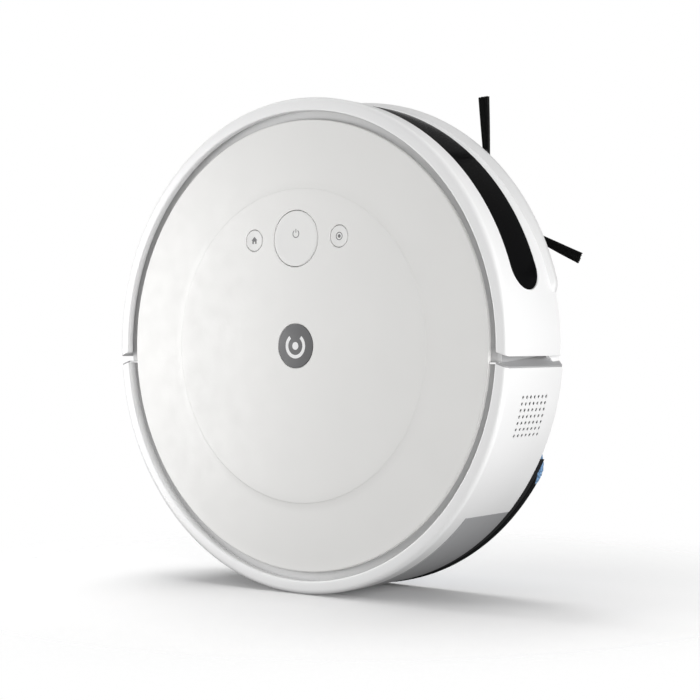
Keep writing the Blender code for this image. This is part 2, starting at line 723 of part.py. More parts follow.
def make_wheel(name, side, wheel_at):
    inner = side * (WHEEL_X - WHEEL_WIDTH / 2)
    outer = side * (WHEEL_X + WHEEL_WIDTH / 2 - 1.5 * MM)
    hub = rod(f"{name}_wheel_hub", HUB_RADIUS, (inner, *wheel_at), (outer, *wheel_at), GREY, sides=32)
    dish = rod(
        f"{name}_hub_dish",
        HUB_RADIUS - 4 * MM,
        (outer - side * 5 * MM, *wheel_at),
        (outer + side * 2 * MM, *wheel_at),
        sides=32,
    )
    boss_low, boss_high = outer - side * 8 * MM, outer - side * 1 * MM
    boss = rod(f"{name}_hub_boss", 8 * MM, (boss_low, *wheel_at), (boss_high, *wheel_at))
    shaft_end, shaft_root = side * 85 * MM, inner + side * 1 * MM
    shaft = rod(f"{name}_wheel_shaft", 4 * MM, (shaft_end, *wheel_at), (shaft_root, *wheel_at), sides=16)
    cut(hub, dish)
    join(hub, boss, shaft)
    tyre_inner = side * (WHEEL_X - WHEEL_WIDTH / 2 + 0.5 * MM)
    tyre_outer = side * (WHEEL_X + WHEEL_WIDTH / 2)
    tyre = rod(
        f"{name}_tyre", WHEEL_RADIUS, (tyre_inner, *wheel_at), (tyre_outer, *wheel_at), RUBBER, sides=40
    )
    bevel = tyre.modifiers.new("Shoulder", "BEVEL")
    bevel.width = 2 * MM
    bevel.segments = 1
    bevel.limit_method = "ANGLE"
    bevel.angle_limit = math.radians(60)
    bore = rod(
        f"{name}_tyre_bore",
        HUB_RADIUS + GAP,
        (side * 90 * MM, *wheel_at),
        (side * 130 * MM, *wheel_at),
        sides=32,
    )
    cut(tyre, bore)


def make_caster():
    at = (0, CASTER_Y)
    axle_y = CASTER_Y + CASTER_TRAIL
    turned(
        "caster_socket",
        [
            (24 * MM, 34 * MM),
            (24 * MM, CHASSIS_TOP + GAP),
            (21 * MM, CHASSIS_TOP + GAP),
            (21 * MM, 30 * MM),
            (4.6 * MM, 30 * MM),
            (4.6 * MM, 34 * MM),
        ],
        GREY,
        steps=24,
        at=(*at, 0),
    )
    fork = turned(
        "caster_fork",
        [
            (0, 37 * MM),
            (4 * MM, 37 * MM),
            (4 * MM, 28 * MM),
            (20 * MM, 28 * MM),
            (20 * MM, 11 * MM),
            (17.5 * MM, 8 * MM),
            (0, 8 * MM),
        ],
        CHARCOAL,
        closed=False,
        steps=24,
        at=(*at, 0),
    )
    half = CASTER_WIDTH / 2 + 1 * MM
    reach = CASTER_RADIUS + 1.2 * MM
    slot = box(
        "caster_slot",
        (-half, axle_y - reach, 0),
        (half, axle_y + reach, CASTER_RADIUS + reach),
    )
    bore = rod(
        "caster_axle_bore",
        1.9 * MM,
        (-25 * MM, axle_y, CASTER_RADIUS),
        (25 * MM, axle_y, CASTER_RADIUS),
        sides=12,
    )
    cut(fork, slot, bore)
    rod(
        "caster_axle",
        1.5 * MM,
        (-14 * MM, axle_y, CASTER_RADIUS),
        (14 * MM, axle_y, CASTER_RADIUS),
        STEEL,
        sides=12,
    )
    wheel = rod(
        "caster_wheel",
        CASTER_RADIUS,
        (-CASTER_WIDTH / 2, axle_y, CASTER_RADIUS),
        (CASTER_WIDTH / 2, axle_y, CASTER_RADIUS),
        RUBBER,
        sides=24,
    )
    bevel = wheel.modifiers.new("Shoulder", "BEVEL")
    bevel.width = 1.5 * MM
    bevel.segments = 1
    bevel.limit_method = "ANGLE"
    bevel.angle_limit = math.radians(60)
    wheel_bore = rod(
        "caster_wheel_bore",
        1.9 * MM,
        (-20 * MM, axle_y, CASTER_RADIUS),
        (20 * MM, axle_y, CASTER_RADIUS),
        sides=12,
    )
    cut(wheel, wheel_bore)


def gear_outline(teeth, phase, slack=0.35):
    """Involute spur gear outline of pressure angle 20 degrees, thinned to run freely."""
    pitch = GEAR_MODULE * teeth / 2
    base = pitch * math.cos(math.radians(20))
    tip, root = pitch + 0.85 * GEAR_MODULE, pitch - 1.2 * GEAR_MODULE
    half_tooth = math.pi / (2 * teeth) - slack * GEAR_MODULE / (2 * pitch)

    def flank(radius):
        turn = math.sqrt(max((radius / base) ** 2 - 1, 0))
        return turn - math.atan(turn)

    at_pitch = flank(pitch)
    radii = [max(root, base), pitch, tip]
    points = []
    for tooth in range(teeth):
        middle = phase + 2 * math.pi * tooth / teeth
        offsets = [half_tooth + at_pitch - flank(radius) for radius in radii]
        points.append(polar(root, middle - offsets[0]))
        points += [polar(r, middle - offset) for r, offset in zip(radii[1:], offsets[1:])]
        points += [polar(r, middle + offset) for r, offset in zip(radii[:0:-1], offsets[:0:-1])]
        points.append(polar(root, middle + offsets[0]))
    return points


def gear(name, teeth, phase, centre, look):
    mesh = slab_mesh(name, gear_outline(teeth, phase), -GEAR_WIDTH / 2, GEAR_WIDTH / 2)
    stand_up(mesh, GEAR_X)
    mesh.transform(Matrix.Translation((0, *centre)))
    return put(name, mesh, look)


def make_main_brush():
    axis = (BRUSH_Y, BRUSH_Z)
    fins = 6
    fin_half = math.asin(1.2 * MM / BRUSH_RADIUS)
    core_half = math.asin(1.6 * MM / BRUSH_CORE)
    outline = []
    for i in range(fins):
        middle = 2 * math.pi * i / fins + math.radians(15)
        outline.append(polar(BRUSH_CORE, middle - core_half))
        outline.append(polar(BRUSH_RADIUS, middle - fin_half))
        outline.append(polar(BRUSH_RADIUS, middle + fin_half))
        outline.append(polar(BRUSH_CORE, middle + core_half))
        outline.append(polar(BRUSH_CORE, middle + math.pi / fins))
    mesh = slab_mesh("main_brush", outline, -BRUSH_HALF, BRUSH_HALF)
    stand_up(mesh, 0)
    mesh.transform(Matrix.Translation((0, *axis)))
    brush = put("main_brush", mesh, BLUE_CLOTH)
    join(brush, rod("brush_shaft", 3 * MM, (SHAFT_END, *axis), (79.5 * MM, *axis), sides=16))
    make_brush_gears(axis)


def make_brush_gears(axis):
    """The gear on the brush, an idler above it and the motor's pinion above that."""
    up, down = math.pi / 2, -math.pi / 2
    gear_half_pitch, pinion_half_pitch = math.pi / GEAR_TEETH, math.pi / PINION_TEETH
    driven = gear("brush_gear", GEAR_TEETH, up + gear_half_pitch, axis, ACETAL)
    cut(driven, rod("brush_gear_bore", 3.3 * MM, (-90 * MM, *axis), (-70 * MM, *axis), sides=16))
    idler_at, pinion_at = (BRUSH_Y, IDLER_Z), (BRUSH_Y, PINION_Z)
    idler = gear("idler_gear", GEAR_TEETH, down, idler_at, ACETAL)
    cut(idler, rod("idler_bore", 2.4 * MM, (-90 * MM, *idler_at), (-70 * MM, *idler_at), sides=16))
    pinion = gear("brush_pinion", PINION_TEETH, down + pinion_half_pitch, pinion_at, ACETAL)
    join(pinion, rod("pinion_shaft", 2 * MM, (-80 * MM, *pinion_at), (-77.2 * MM, *pinion_at), sides=12))
    motor = rod("brush_motor", 9.6 * MM, (-76.8 * MM, *pinion_at), (-46 * MM, *pinion_at), STEEL, sides=24)
    join(motor, rod("brush_motor_boss", 4 * MM, (-47 * MM, *pinion_at), (-44 * MM, *pinion_at), sides=12))


def make_brush_chamber():
    low_x, high_x = -78 * MM, 80 * MM
    front, back = 27 * MM, 69 * MM
    floor, roof = CHASSIS_TOP + GAP, 45 * MM
    chamber = box("brush_housing", (low_x, front, floor), (high_x, back, roof), CHARCOAL)
    wall = 2 * MM
    hollow = box("brush_hollow", (low_x + wall, front + wall, 0), (high_x - wall, back - wall, roof - wall))
    outlet = box("brush_outlet", (-45 * MM, back - 10 * MM, 23 * MM), (45 * MM, back + 10 * MM, 42 * MM))
    axis = (BRUSH_Y, BRUSH_Z)
    gear_side = rod("gear_side_hole", 3.4 * MM, (-90 * MM, *axis), (-60 * MM, *axis), sides=16)
    bearing_side = rod("bearing_hole", 6.3 * MM, (60 * MM, *axis), (90 * MM, *axis), sides=24)
    cut(chamber, hollow, outlet, gear_side, bearing_side)
    idler_at = (BRUSH_Y, IDLER_Z)
    pin_end, pin_root = low_x - 5.4 * MM, low_x + 1 * MM
    join(chamber, rod("idler_pin", 2 * MM, (pin_end, *idler_at), (pin_root, *idler_at), sides=12))
    bearing = rod("brush_bearing", 6 * MM, (77.5 * MM, *axis), (80 * MM, *axis), ACETAL, sides=24)
    cut(bearing, rod("brush_bearing_bore", 3.3 * MM, (60 * MM, *axis), (90 * MM, *axis), sides=16))
    guard = box(
        "brush_guard", (-83.6 * MM, 24 * MM, 8 * MM), (83.6 * MM, 72 * MM, 10.6 * MM), GREY, bevel=0.6 * MM
    )
    cut(guard, box("guard_window", (-76 * MM, 29.5 * MM, 0), (76 * MM, 66.5 * MM, 20 * MM)))
    cut(guard, box("guard_gear_pocket", (-90 * MM, 34 * MM, 8.7 * MM), (-78 * MM, 62 * MM, 20 * MM)))


def make_side_brush():
    at = (SIDE_BRUSH_X, SIDE_BRUSH_Y)
    hub = rod("side_brush", 13 * MM, (*at, 5 * MM), (*at, 10.2 * MM), BRISTLE, sides=32, end_radius=11 * MM)
    join(hub, rod("side_brush_shaft", 4 * MM, (*at, 10 * MM), (*at, 18 * MM), sides=6))
    for i in range(3):
        angle = SIDE_BRUSH_FIRST + 2 * math.pi * i / 3
        start, middle, tip = 9 * MM, 40 * MM, SIDE_BRUSH_REACH
        widths = ((start, 3 * MM), (middle, 2.2 * MM), (tip, 3.3 * MM))
        right = [(r, -half) for r, half in widths]
        left = [(r, half) for r, half in widths[::-1]]
        arm = slab(f"brush_arm_{i}", right + left, 6 * MM, 9 * MM)
        arm.data.transform(Matrix.Translation((*at, 0)) @ Matrix.Rotation(angle, 4, "Z"))
        join(hub, arm)
    gearbox = rod("side_brush_motor", 14 * MM, (*at, CHASSIS_TOP + GAP), (*at, 28 * MM), CHARCOAL, sides=28)
    join(gearbox, rod("side_brush_motor_can", 10 * MM, (*at, 27 * MM), (*at, 58 * MM), sides=24))
    cut(gearbox, rod("side_brush_socket", 4.5 * MM, (*at, 10 * MM), (*at, 19 * MM), sides=24))


def make_blower():
    at = (BLOWER_X, BLOWER_Y)
    housing = rod("blower_housing", BLOWER_RADIUS, (*at, BLOWER_BOTTOM), (*at, BLOWER_TOP), GREY, sides=32)
    duct_top = 62 * MM
    duct = box("duct", (-30 * MM, BLOWER_Y - 4 * MM, 47.5 * MM), (46 * MM, 72.5 * MM, duct_top))
    drum = rod("duct_drum", BLOWER_RADIUS, (*at, 47.5 * MM), (*at, duct_top), sides=32)
    join(housing, drum, duct)
    wall = 2 * MM
    hollow = box(
        "duct_hollow",
        (-30 * MM + wall, BLOWER_Y - 1 * MM, 47.5 * MM + wall),
        (46 * MM - wall, 80 * MM, duct_top - wall),
    )
    recess = rod("motor_recess", 18.4 * MM, (*at, 10 * MM), (*at, 28.5 * MM), sides=32)
    shaft = rod("motor_shaft_hole", 3 * MM, (*at, 28 * MM), (*at, 32 * MM), sides=16)
    rotor = rod("impeller_room", 27 * MM, (*at, 31 * MM), (*at, 46 * MM), sides=36)
    eye = rod("blower_eye", 14 * MM, (*at, 45 * MM), (*at, 52 * MM), sides=24)
    exhaust = box(
        "blower_exhaust", (-40 * MM, BLOWER_Y - 22 * MM, 33 * MM), (BLOWER_X, BLOWER_Y - 8 * MM, 44 * MM)
    )
    cut(housing, hollow, recess, shaft, rotor, eye, exhaust)
    motor = rod("blower_motor", 18 * MM, (*at, BLOWER_BOTTOM - 1 * MM), (*at, 28.2 * MM), STEEL, sides=32)
    join(motor, rod("blower_shaft", 2 * MM, (*at, 28 * MM), (*at, 42 * MM), sides=12))
    impeller = rod("impeller", 24 * MM, (*at, 32.4 * MM), (*at, 34 * MM), ACETAL, sides=36)
    join(impeller, rod("impeller_hub", 6 * MM, (*at, 33 * MM), (*at, 43 * MM), sides=24))
    for i in range(9):
        angle = 2 * math.pi * i / 9
        blade = box(
            f"impeller_blade_{i}", (5 * MM, -0.7 * MM, 33.6 * MM), (23.5 * MM, 0.7 * MM, 43 * MM)
        )
        lean = Matrix.Translation((*at, 0)) @ Matrix.Rotation(angle, 4, "Z")
        blade.data.transform(lean @ Matrix.Translation((0, 4 * MM, 0)) @ Matrix.Rotation(-0.3, 4, "Z"))
        join(impeller, blade)
    cut(impeller, rod("impeller_bore", 2.3 * MM, (*at, 30 * MM), (*at, 50 * MM), sides=12))


def bin_outline(inset, left=-BIN_HALF, right=BIN_HALF, radius=SHELL_RADIUS - 0.2 * MM):
    """Plan of the bin or of a room in it: straight front and sides, round back."""
    rim = radius - inset
    low, high = left + inset, right - inset
    start, end = math.acos(high / rim), math.acos(low / rim)
    steps = 24
    arc = [polar(rim, start + (end - start) * i / steps) for i in range(steps + 1)]
    return [(low, BIN_FRONT + inset), (high, BIN_FRONT + inset)] + arc


def make_bin():
    body_top = BIN_TOP - LID_THICKNESS - GAP
    bin_body = slab("dust_bin", bin_outline(0), BIN_BOTTOM, body_top, SMOKE)
    floor = BIN_BOTTOM + BIN_WALL
    rooms = (("dust_room", TANK_EDGE, BIN_HALF), ("tank_room", -BIN_HALF, TANK_EDGE))
    for name, left, right in rooms:
        cut(bin_body, slab(name, bin_outline(BIN_WALL, left, right), floor, 100 * MM))
    inlet = (-45 * MM, BIN_FRONT - 5 * MM, 22 * MM), (45 * MM, BIN_FRONT + 5 * MM, 42 * MM)
    cut(bin_body, box("bin_inlet", *inlet))
    air_low, air_high = 48 * MM, 60 * MM
    air_way = (-26 * MM, BIN_FRONT - 5 * MM, air_low), (42 * MM, BIN_FRONT + 5 * MM, air_high)
    cut(bin_body, box("bin_air_way", *air_way))
    button_x, button_low, button_high = 20 * MM, 40 * MM, 56 * MM
    pocket_x, room = button_x + 0.4 * MM, 0.4 * MM
    pocket = (-pocket_x, 163 * MM, button_low - room), (pocket_x, 180 * MM, button_high + room)
    backing = box("button_backing", (-24 * MM, 160 * MM, 36 * MM), (24 * MM, 168.2 * MM, 60 * MM))
    join(bin_body, backing)
    cut(bin_body, box("button_pocket", *pocket))
    button = slab("bin_button", bin_outline(0), button_low, button_high, GREY)
    boolean(
        button,
        box("bin_button_outline", (-button_x, 166 * MM, 0), (button_x, 180 * MM, 100 * MM)),
        "INTERSECT",
    )
    lid = slab("bin_lid", bin_outline(0), BIN_TOP - LID_THICKNESS, BIN_TOP, SMOKE)
    filler = (-95 * MM, 105 * MM)
    cut(lid, rod("filler_hole", 8 * MM, (*filler, 50 * MM), (*filler, 80 * MM), sides=24))
    rod("tank_plug", 7.6 * MM, (*filler, 55 * MM), (*filler, BIN_TOP), RUBBER, sides=24)
    filter_low, filter_high = (-44 * MM, 78.5 * MM, 46 * MM), (60 * MM, 90 * MM, 60.5 * MM)
    box("filter", filter_low, filter_high, FILTER_WHITE, bevel=0.6 * MM)


def mop_outline(front, radius):
    """Plan of the mop plate or pad: a straight front edge and the shell's round back."""
    start = math.asin(front / radius)
    steps = 36
    return [polar(radius, start + (math.pi - 2 * start) * i / steps) for i in range(steps + 1)]


def make_mop():
    slab("mop_plate", mop_outline(MOP_FRONT, MOP_RADIUS), MOP_PLATE_BOTTOM, MOP_PLATE_TOP, CHARCOAL)
    slab("mop_pad", mop_outline(MOP_FRONT + 1.5 * MM, PAD_RADIUS), 0, PAD_TOP, BLUE_CLOTH)


def centre_line():
    empty = bpy.data.objects.new("shell_axis", None)
    empty.location = (AXIS_X, 0, 0)
    bpy.context.scene.collection.objects.link(empty)
    return empty


clear_scene()
PIECES = new_collection("robot_vacuum")
CUTTERS = new_collection("cutters")
CUTTERS.hide_render = True
AXIS = centre_line()

make_bumper()
make_rear_shell()
make_top_plate()
make_inner_frame()
make_chassis()
make_battery()
make_main_board()
make_bumper_springs()
make_drive(-1)
make_drive(1)
make_caster()
make_main_brush()
make_brush_chamber()
make_side_brush()
make_blower()
make_bin()
make_mop()
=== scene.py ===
import math
import random

import bmesh
import bpy
from mathutils import Matrix, Vector


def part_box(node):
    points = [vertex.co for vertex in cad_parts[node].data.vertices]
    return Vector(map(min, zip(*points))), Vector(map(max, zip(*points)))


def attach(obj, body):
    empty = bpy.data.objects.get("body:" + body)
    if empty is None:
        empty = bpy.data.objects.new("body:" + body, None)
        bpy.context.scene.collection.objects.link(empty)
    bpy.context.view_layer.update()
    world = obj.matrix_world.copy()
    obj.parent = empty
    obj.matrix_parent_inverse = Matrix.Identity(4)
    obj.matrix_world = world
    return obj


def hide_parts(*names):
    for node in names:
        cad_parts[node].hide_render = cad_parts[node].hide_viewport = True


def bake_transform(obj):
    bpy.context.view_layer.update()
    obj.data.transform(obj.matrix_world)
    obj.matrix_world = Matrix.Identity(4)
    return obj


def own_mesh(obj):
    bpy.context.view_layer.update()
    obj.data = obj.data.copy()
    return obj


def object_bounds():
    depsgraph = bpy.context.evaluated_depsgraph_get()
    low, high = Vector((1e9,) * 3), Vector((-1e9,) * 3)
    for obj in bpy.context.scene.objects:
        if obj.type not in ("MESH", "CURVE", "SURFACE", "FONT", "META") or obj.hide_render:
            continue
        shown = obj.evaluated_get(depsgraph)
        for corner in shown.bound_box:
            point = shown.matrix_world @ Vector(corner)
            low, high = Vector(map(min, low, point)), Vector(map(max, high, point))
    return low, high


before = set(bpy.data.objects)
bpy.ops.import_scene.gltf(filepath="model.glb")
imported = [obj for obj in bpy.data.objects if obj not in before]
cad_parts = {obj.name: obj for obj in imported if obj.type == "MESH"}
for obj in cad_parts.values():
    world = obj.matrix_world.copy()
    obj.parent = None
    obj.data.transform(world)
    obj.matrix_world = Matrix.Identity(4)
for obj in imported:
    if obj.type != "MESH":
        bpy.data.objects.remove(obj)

# ---------------------------------------------------------------- sizes, in metres

MM = 0.001
CAD_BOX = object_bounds()
BUMPER_LOW, BUMPER_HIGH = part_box("bumper")
AXIS_X = (BUMPER_LOW.x + BUMPER_HIGH.x) / 2
RADIUS = (BUMPER_HIGH.x - BUMPER_LOW.x) / 2
RING_TOP = BUMPER_HIGH.z
BUMPER_BOTTOM = BUMPER_LOW.z
SHELL_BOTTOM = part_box("rear_shell")[0].z
CHASSIS_LOW, CHASSIS_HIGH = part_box("chassis")
PLATE_LOW, PLATE_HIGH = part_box("top_plate")
PLATE_RADIUS = (PLATE_HIGH.x - PLATE_LOW.x) / 2
BIN_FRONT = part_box("dust_bin")[0].y
STEPS = 240
AXIS_GAP = 0.01 * MM
SIDES = ((-1, "right"), (1, "left"))

SHELL_WALL = 2.6 * MM
RING_INNER = 160.8 * MM
RING_UNDERSIDE = RING_TOP - 3 * MM
LIP_RADIUS = -BUMPER_LOW.y
LIP_END = math.radians(11.7)
BUMPER_END = 3.4 * MM
REAR_START = 10.6 * MM
SLANT_FROM = 158 * MM
END_SLANT = 0.32
PLATE_EDGE_TOP = 78.4 * MM
PLATE_DOME = 2.4 * MM
INNER_DISC = 108 * MM
INNER_STEP = 0.35 * MM
GROOVE_FLOOR = 74.5 * MM
FRAME_RADIUS = 162.6 * MM
WINDOW_HALF = 16 * MM
WINDOW_MIDDLE = 48 * MM
WINDOW_END = math.radians(12)
BIN_OPENING = 128.1 * MM
BIN_OPENING_TOP = 65.1 * MM
GRILLE_FIRST, GRILLE_LAST = math.radians(11.3), math.radians(20)
GRILLE_BOTTOM, GRILLE_TOP = 28 * MM, 56.6 * MM
GRILLE_GAPS = 6
GRILLE_HOLE = 1.2 * MM
PAST_REAR = 0.2


def dome_height(radius):
    """Height of the top plate's face at a distance from the shell's axis."""
    step = INNER_STEP if radius < INNER_DISC else 0
    return PLATE_EDGE_TOP + PLATE_DOME * (1 - (radius / PLATE_RADIUS) ** 2) + step


def cad(name):
    """Lowest corner, highest corner and middle of a CAD node, measured from the shell's axis."""
    low, high = (corner - Vector((AXIS_X, 0, 0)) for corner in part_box(name))
    return low, high, (low + high) / 2


# ---------------------------------------------------------------- outlines


def mm(*rows):
    """Rows of millimetres as rows of metres."""
    return [tuple(value * MM for value in row) for row in rows]


def polar(radius, angle, z=None, at=(0, 0)):
    flat = (at[0] + radius * math.cos(angle), at[1] + radius * math.sin(angle))
    return flat if z is None else (*flat, z)


def evenly(start, end, steps):
    """Evenly spaced numbers from start to end, with both."""
    return [start + (end - start) * i / steps for i in range(steps + 1)]


def circle(radius, sides):
    return [polar(radius, math.tau * i / sides) for i in range(sides)]


def rounding(edge, steps):
    """The arc of a rounded edge: (distance from the end face, distance drawn in) pairs."""
    turns = evenly(0, math.pi / 2, steps)
    return [(edge * (1 - math.sin(a)), edge * (1 - math.cos(a))) for a in turns] if edge else [(0, 0)]


def rounded(corners, steps=5):
    """A closed outline from (x, y, radius) corners, each rounded by an arc of that radius."""
    points = []
    for i, (x, y, radius) in enumerate(corners):
        if not radius:
            points.append((x, y))
            continue
        here = Vector((x, y))
        before = (Vector(corners[i - 1][:2]) - here).normalized()
        after = (Vector(corners[(i + 1) % len(corners)][:2]) - here).normalized()
        half = math.acos(max(-1, min(1, before.dot(after)))) / 2
        middle = here + (before + after).normalized() * (radius / math.sin(half))
        first = here + before * (radius / math.tan(half)) - middle
        last = here + after * (radius / math.tan(half)) - middle
        sweep = math.atan2(first.x * last.y - first.y * last.x, first.dot(last))
        points += [tuple(middle + Matrix.Rotation(turn, 2) @ first) for turn in evenly(0, sweep, steps)]
    return points


def inset(outline, distance):
    """A closed outline moved inwards by a distance, corner by corner."""
    following = outline[1:] + outline[:1]
    area = sum(a[0] * b[1] - b[0] * a[1] for a, b in zip(outline, following))
    side = 1 if area > 0 else -1
    moved = []
    for i, (point, after) in enumerate(zip(outline, following)):
        here = Vector(point)
        along_in = (here - Vector(outline[i - 1])).normalized()
        along_out = (Vector(after) - here).normalized()
        mean = Vector((-along_in.y - along_out.y, along_in.x + along_out.x)) * side
        reach = min(2.0, 2 / max(mean.length_squared, 1e-9) * mean.length)
        moved.append(tuple(here + mean.normalized() * distance * reach))
    return moved


def rectangle(x0, x1, y0, y1, radius, steps=6):
    return rounded([(x0, y0, radius), (x1, y0, radius), (x1, y1, radius), (x0, y1, radius)], steps)


def centred(x, y, half_x, half_y):
    """The sides of a rectangle round a point."""
    return x - half_x, x + half_x, y - half_y, y + half_y


# ---------------------------------------------------------------- mesh tools


def new_object(name, bm):
    """A mesh object standing on the shell's axis."""
    mesh = bpy.data.meshes.new(name)
    bm.to_mesh(mesh)
    bm.free()
    obj = bpy.data.objects.new(name, mesh)
    obj.location = (AXIS_X, 0, 0)
    bpy.context.scene.collection.objects.link(obj)
    return obj


def loft(bm, sections, wrap=False):
    """Faces between closed sections of equal length, with end caps unless it wraps round."""
    rows = [[bm.verts.new(point) for point in section] for section in sections]
    count = len(rows[0])
    for a, b in list(zip(rows, rows[1:])) + ([(rows[-1], rows[0])] if wrap else []):
        for i in range(count):
            j = (i + 1) % count
            bm.faces.new((a[i], a[j], b[j], b[i]))
    if not wrap:
        bm.faces.new(rows[0][::-1])
        bm.faces.new(rows[-1])


def lofted(name, *parts, wrap=False, weld=True):
    """An object of one or more lofts, each from its own list of sections."""
    bm = bmesh.new()
    for sections in parts:
        loft(bm, sections, wrap)
    if weld:
        bmesh.ops.remove_doubles(bm, verts=bm.verts, dist=1e-6)
    bmesh.ops.recalc_face_normals(bm, faces=bm.faces)
    return new_object(name, bm)


def turned(name, profile, steps=STEPS, at=(0, 0), axis="Z"):
    """A closed profile of radius and height pairs turned about an axis."""
    sections = []
    for i in range(steps):
        ring = [(polar(r, math.tau * i / steps, at=at), z) for r, z in profile]
        sections.append([(*flat, z) if axis == "Z" else (z, *flat) for flat, z in ring])
    return lofted(name, sections, wrap=True)


def turned_solid(name, corners, sides, at=(0, 0), axis="Z", steps=5):
    """Rounded corners turned about an axis, and filled up to the axis from the first and last corner."""
    closed = [(AXIS_GAP, corners[0][1], 0), *corners, (AXIS_GAP, corners[-1][1], 0)]
    return turned(name, rounded(closed, steps), sides, at, axis)


def slab(name, outline, bottom, top, edge=0.0, edge_steps=3):
    """A flat outline raised from bottom to top, its upper and lower edges rounded."""
    arc = rounding(edge, edge_steps)
    levels = [(bottom + back, pull) for back, pull in arc[::-1]] + [(top - back, pull) for back, pull in arc]
    return lofted(name, [[(x, y, z) for x, y in inset(outline, pull)] for z, pull in levels])


def tile(name, sides, radius, bottom, top, edge=0.0, steps=6):
    """A slab with a rounded rectangle as its outline."""
    return slab(name, rectangle(*sides, radius, steps), bottom, top, edge)


def drum(name, radius, start, end, sides=64, edge=0.0):
    """A round bar between two points with rounded ends."""
    start, end = Vector(start), Vector(end)
    turn = (end - start).to_track_quat("Z", "Y")
    length = (end - start).length
    low = [(back, radius - pull) for back, pull in rounding(edge, 3)[::-1]]
    sections = []
    for z, r in low + [(length - z, r) for z, r in low[::-1]]:
        sections.append([tuple(start + turn @ Vector((*point, z))) for point in circle(r, sides)])
    return lofted(name, sections)


def block(name, low, high, edge=0.0):
    outline = [(low[0], low[1]), (high[0], low[1]), (high[0], high[1]), (low[0], high[1])]
    return slab(name, outline, low[2], high[2], edge)


def bake(obj):
    """Makes the modified mesh the object's own."""
    bpy.context.view_layer.update()
    graph = bpy.context.evaluated_depsgraph_get()
    mesh = bpy.data.meshes.new_from_object(obj.evaluated_get(graph))
    obj.modifiers.clear()
    obj.data = mesh


def carve(obj, *tools, operation="DIFFERENCE"):
    """Cuts the tools from the object, or joins them to it, and removes them."""
    for tool in tools:
        modifier = obj.modifiers.new("carve", "BOOLEAN")
        modifier.operation = operation
        modifier.object = tool
        modifier.solver = "EXACT"
    bake(obj)
    for tool in tools:
        bpy.data.objects.remove(tool)


def smooth(obj, angle=32):
    obj.data.shade_smooth()
    obj.data.set_sharp_from_angle(angle=math.radians(angle))


def dress(obj, look, body, stands_for=None):
    """Gives a piece its material and its body, and hides the CAD node that it stands for.
    """
    obj.data.materials.clear()
    obj.data.materials.append(look)
    smooth(obj)
    if body:
        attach(obj, body)
    if stands_for:
        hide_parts(stands_for)
    return obj


# ---------------------------------------------------------------- materials


class Nodes:
    """A short way to add nodes to a material and to link them. Sizes and depths are in millimetres."""

    def __init__(self, name):
        self.material = bpy.data.materials.new(name)
        self.material.use_nodes = True
        self.tree = self.material.node_tree
        self.shader = self.tree.nodes["Principled BSDF"]

    def add(self, kind, inputs=None, **settings):
        node = self.tree.nodes.new("ShaderNode" + kind)
        for key, value in settings.items():
            setattr(node, key, value)
        self.fill(node, inputs or {})
        return node

    def fill(self, node, inputs):
        for key, value in inputs.items():
            socket = node.inputs[key]
            if isinstance(value, bpy.types.NodeSocket):
                self.tree.links.new(value, socket)
            else:
                socket.default_value = (*value, 1) if socket.type == "RGBA" else value

    def place(self, stretch=(1, 1, 1)):
        where = self.add("TexCoord").outputs["Object"]
        return self.add("Mapping", {"Vector": where, "Scale": stretch}).outputs[0]

    def noise(self, where, size, detail=3.0, roughness=0.55):
        inputs = {"Vector": where, "Scale": 1 / (size * MM), "Detail": detail, "Roughness": roughness}
        return self.add("TexNoise", inputs).outputs["Fac"]

    def cells(self, where, size, randomness):
        inputs = {"Vector": where, "Scale": 1 / (size * MM), "Randomness": randomness}
        return self.add("TexVoronoi", inputs).outputs["Distance"]

    def between(self, factor, low, high, start=0.3, end=0.7):
        inputs = {"Value": factor, "From Min": start, "From Max": end, "To Min": low, "To Max": high}
        return self.add("MapRange", inputs).outputs["Result"]

    def blend(self, factor, first, second):
        return self.add("Mix", {0: factor, 6: first, 7: second}, data_type="RGBA").outputs[2]

    def bump(self, height, depth, normal=None):
        inputs = {"Height": height, "Distance": depth * MM, "Strength": 1.0}
        return self.add("Bump", inputs | ({"Normal": normal} if normal else {})).outputs["Normal"]

    def maths(self, operation, first, second):
        return self.add("Math", {0: first, 1: second}, operation=operation).outputs[0]

    def finish(self, colour, roughness, normal=None, others=None):
        """Fills in the shader and hands over the material."""
        inputs = {"Base Color": colour, "Roughness": roughness} | ({"Normal": normal} if normal else {})
        self.fill(self.shader, inputs | (others or {}))
        return self.material


def grey(tone):
    return (tone, tone, tone)


def shade(colour, amount):
    return tuple(min(1.0, c * amount) for c in colour)


def plastic(name, colour, roughness, grain=0.5, depth=0.004, drift=0.03, coat=0.0):
    """Moulded plastic: a fine spark-eroded grain, slow colour drift and uneven gloss. Grain is in mm."""
    nodes = Nodes(name)
    where = nodes.place()
    cloud = nodes.noise(where, 60, detail=2)
    grainy = nodes.noise(where, grain, detail=4, roughness=0.7)
    handled = nodes.noise(where, 12, detail=5)
    drifted = nodes.blend(nodes.between(cloud, 0, 1), shade(colour, 1 - drift), shade(colour, 1 + drift))
    speckled = nodes.blend(nodes.between(grainy, 0, 0.35), drifted, shade(colour, 1 - 2 * drift))
    gloss = nodes.between(handled, roughness - 0.05, roughness + 0.06)
    coats = {"Coat Weight": coat, "Coat Roughness": 0.12}
    return nodes.finish(speckled, gloss, nodes.bump(grainy, depth), coats)


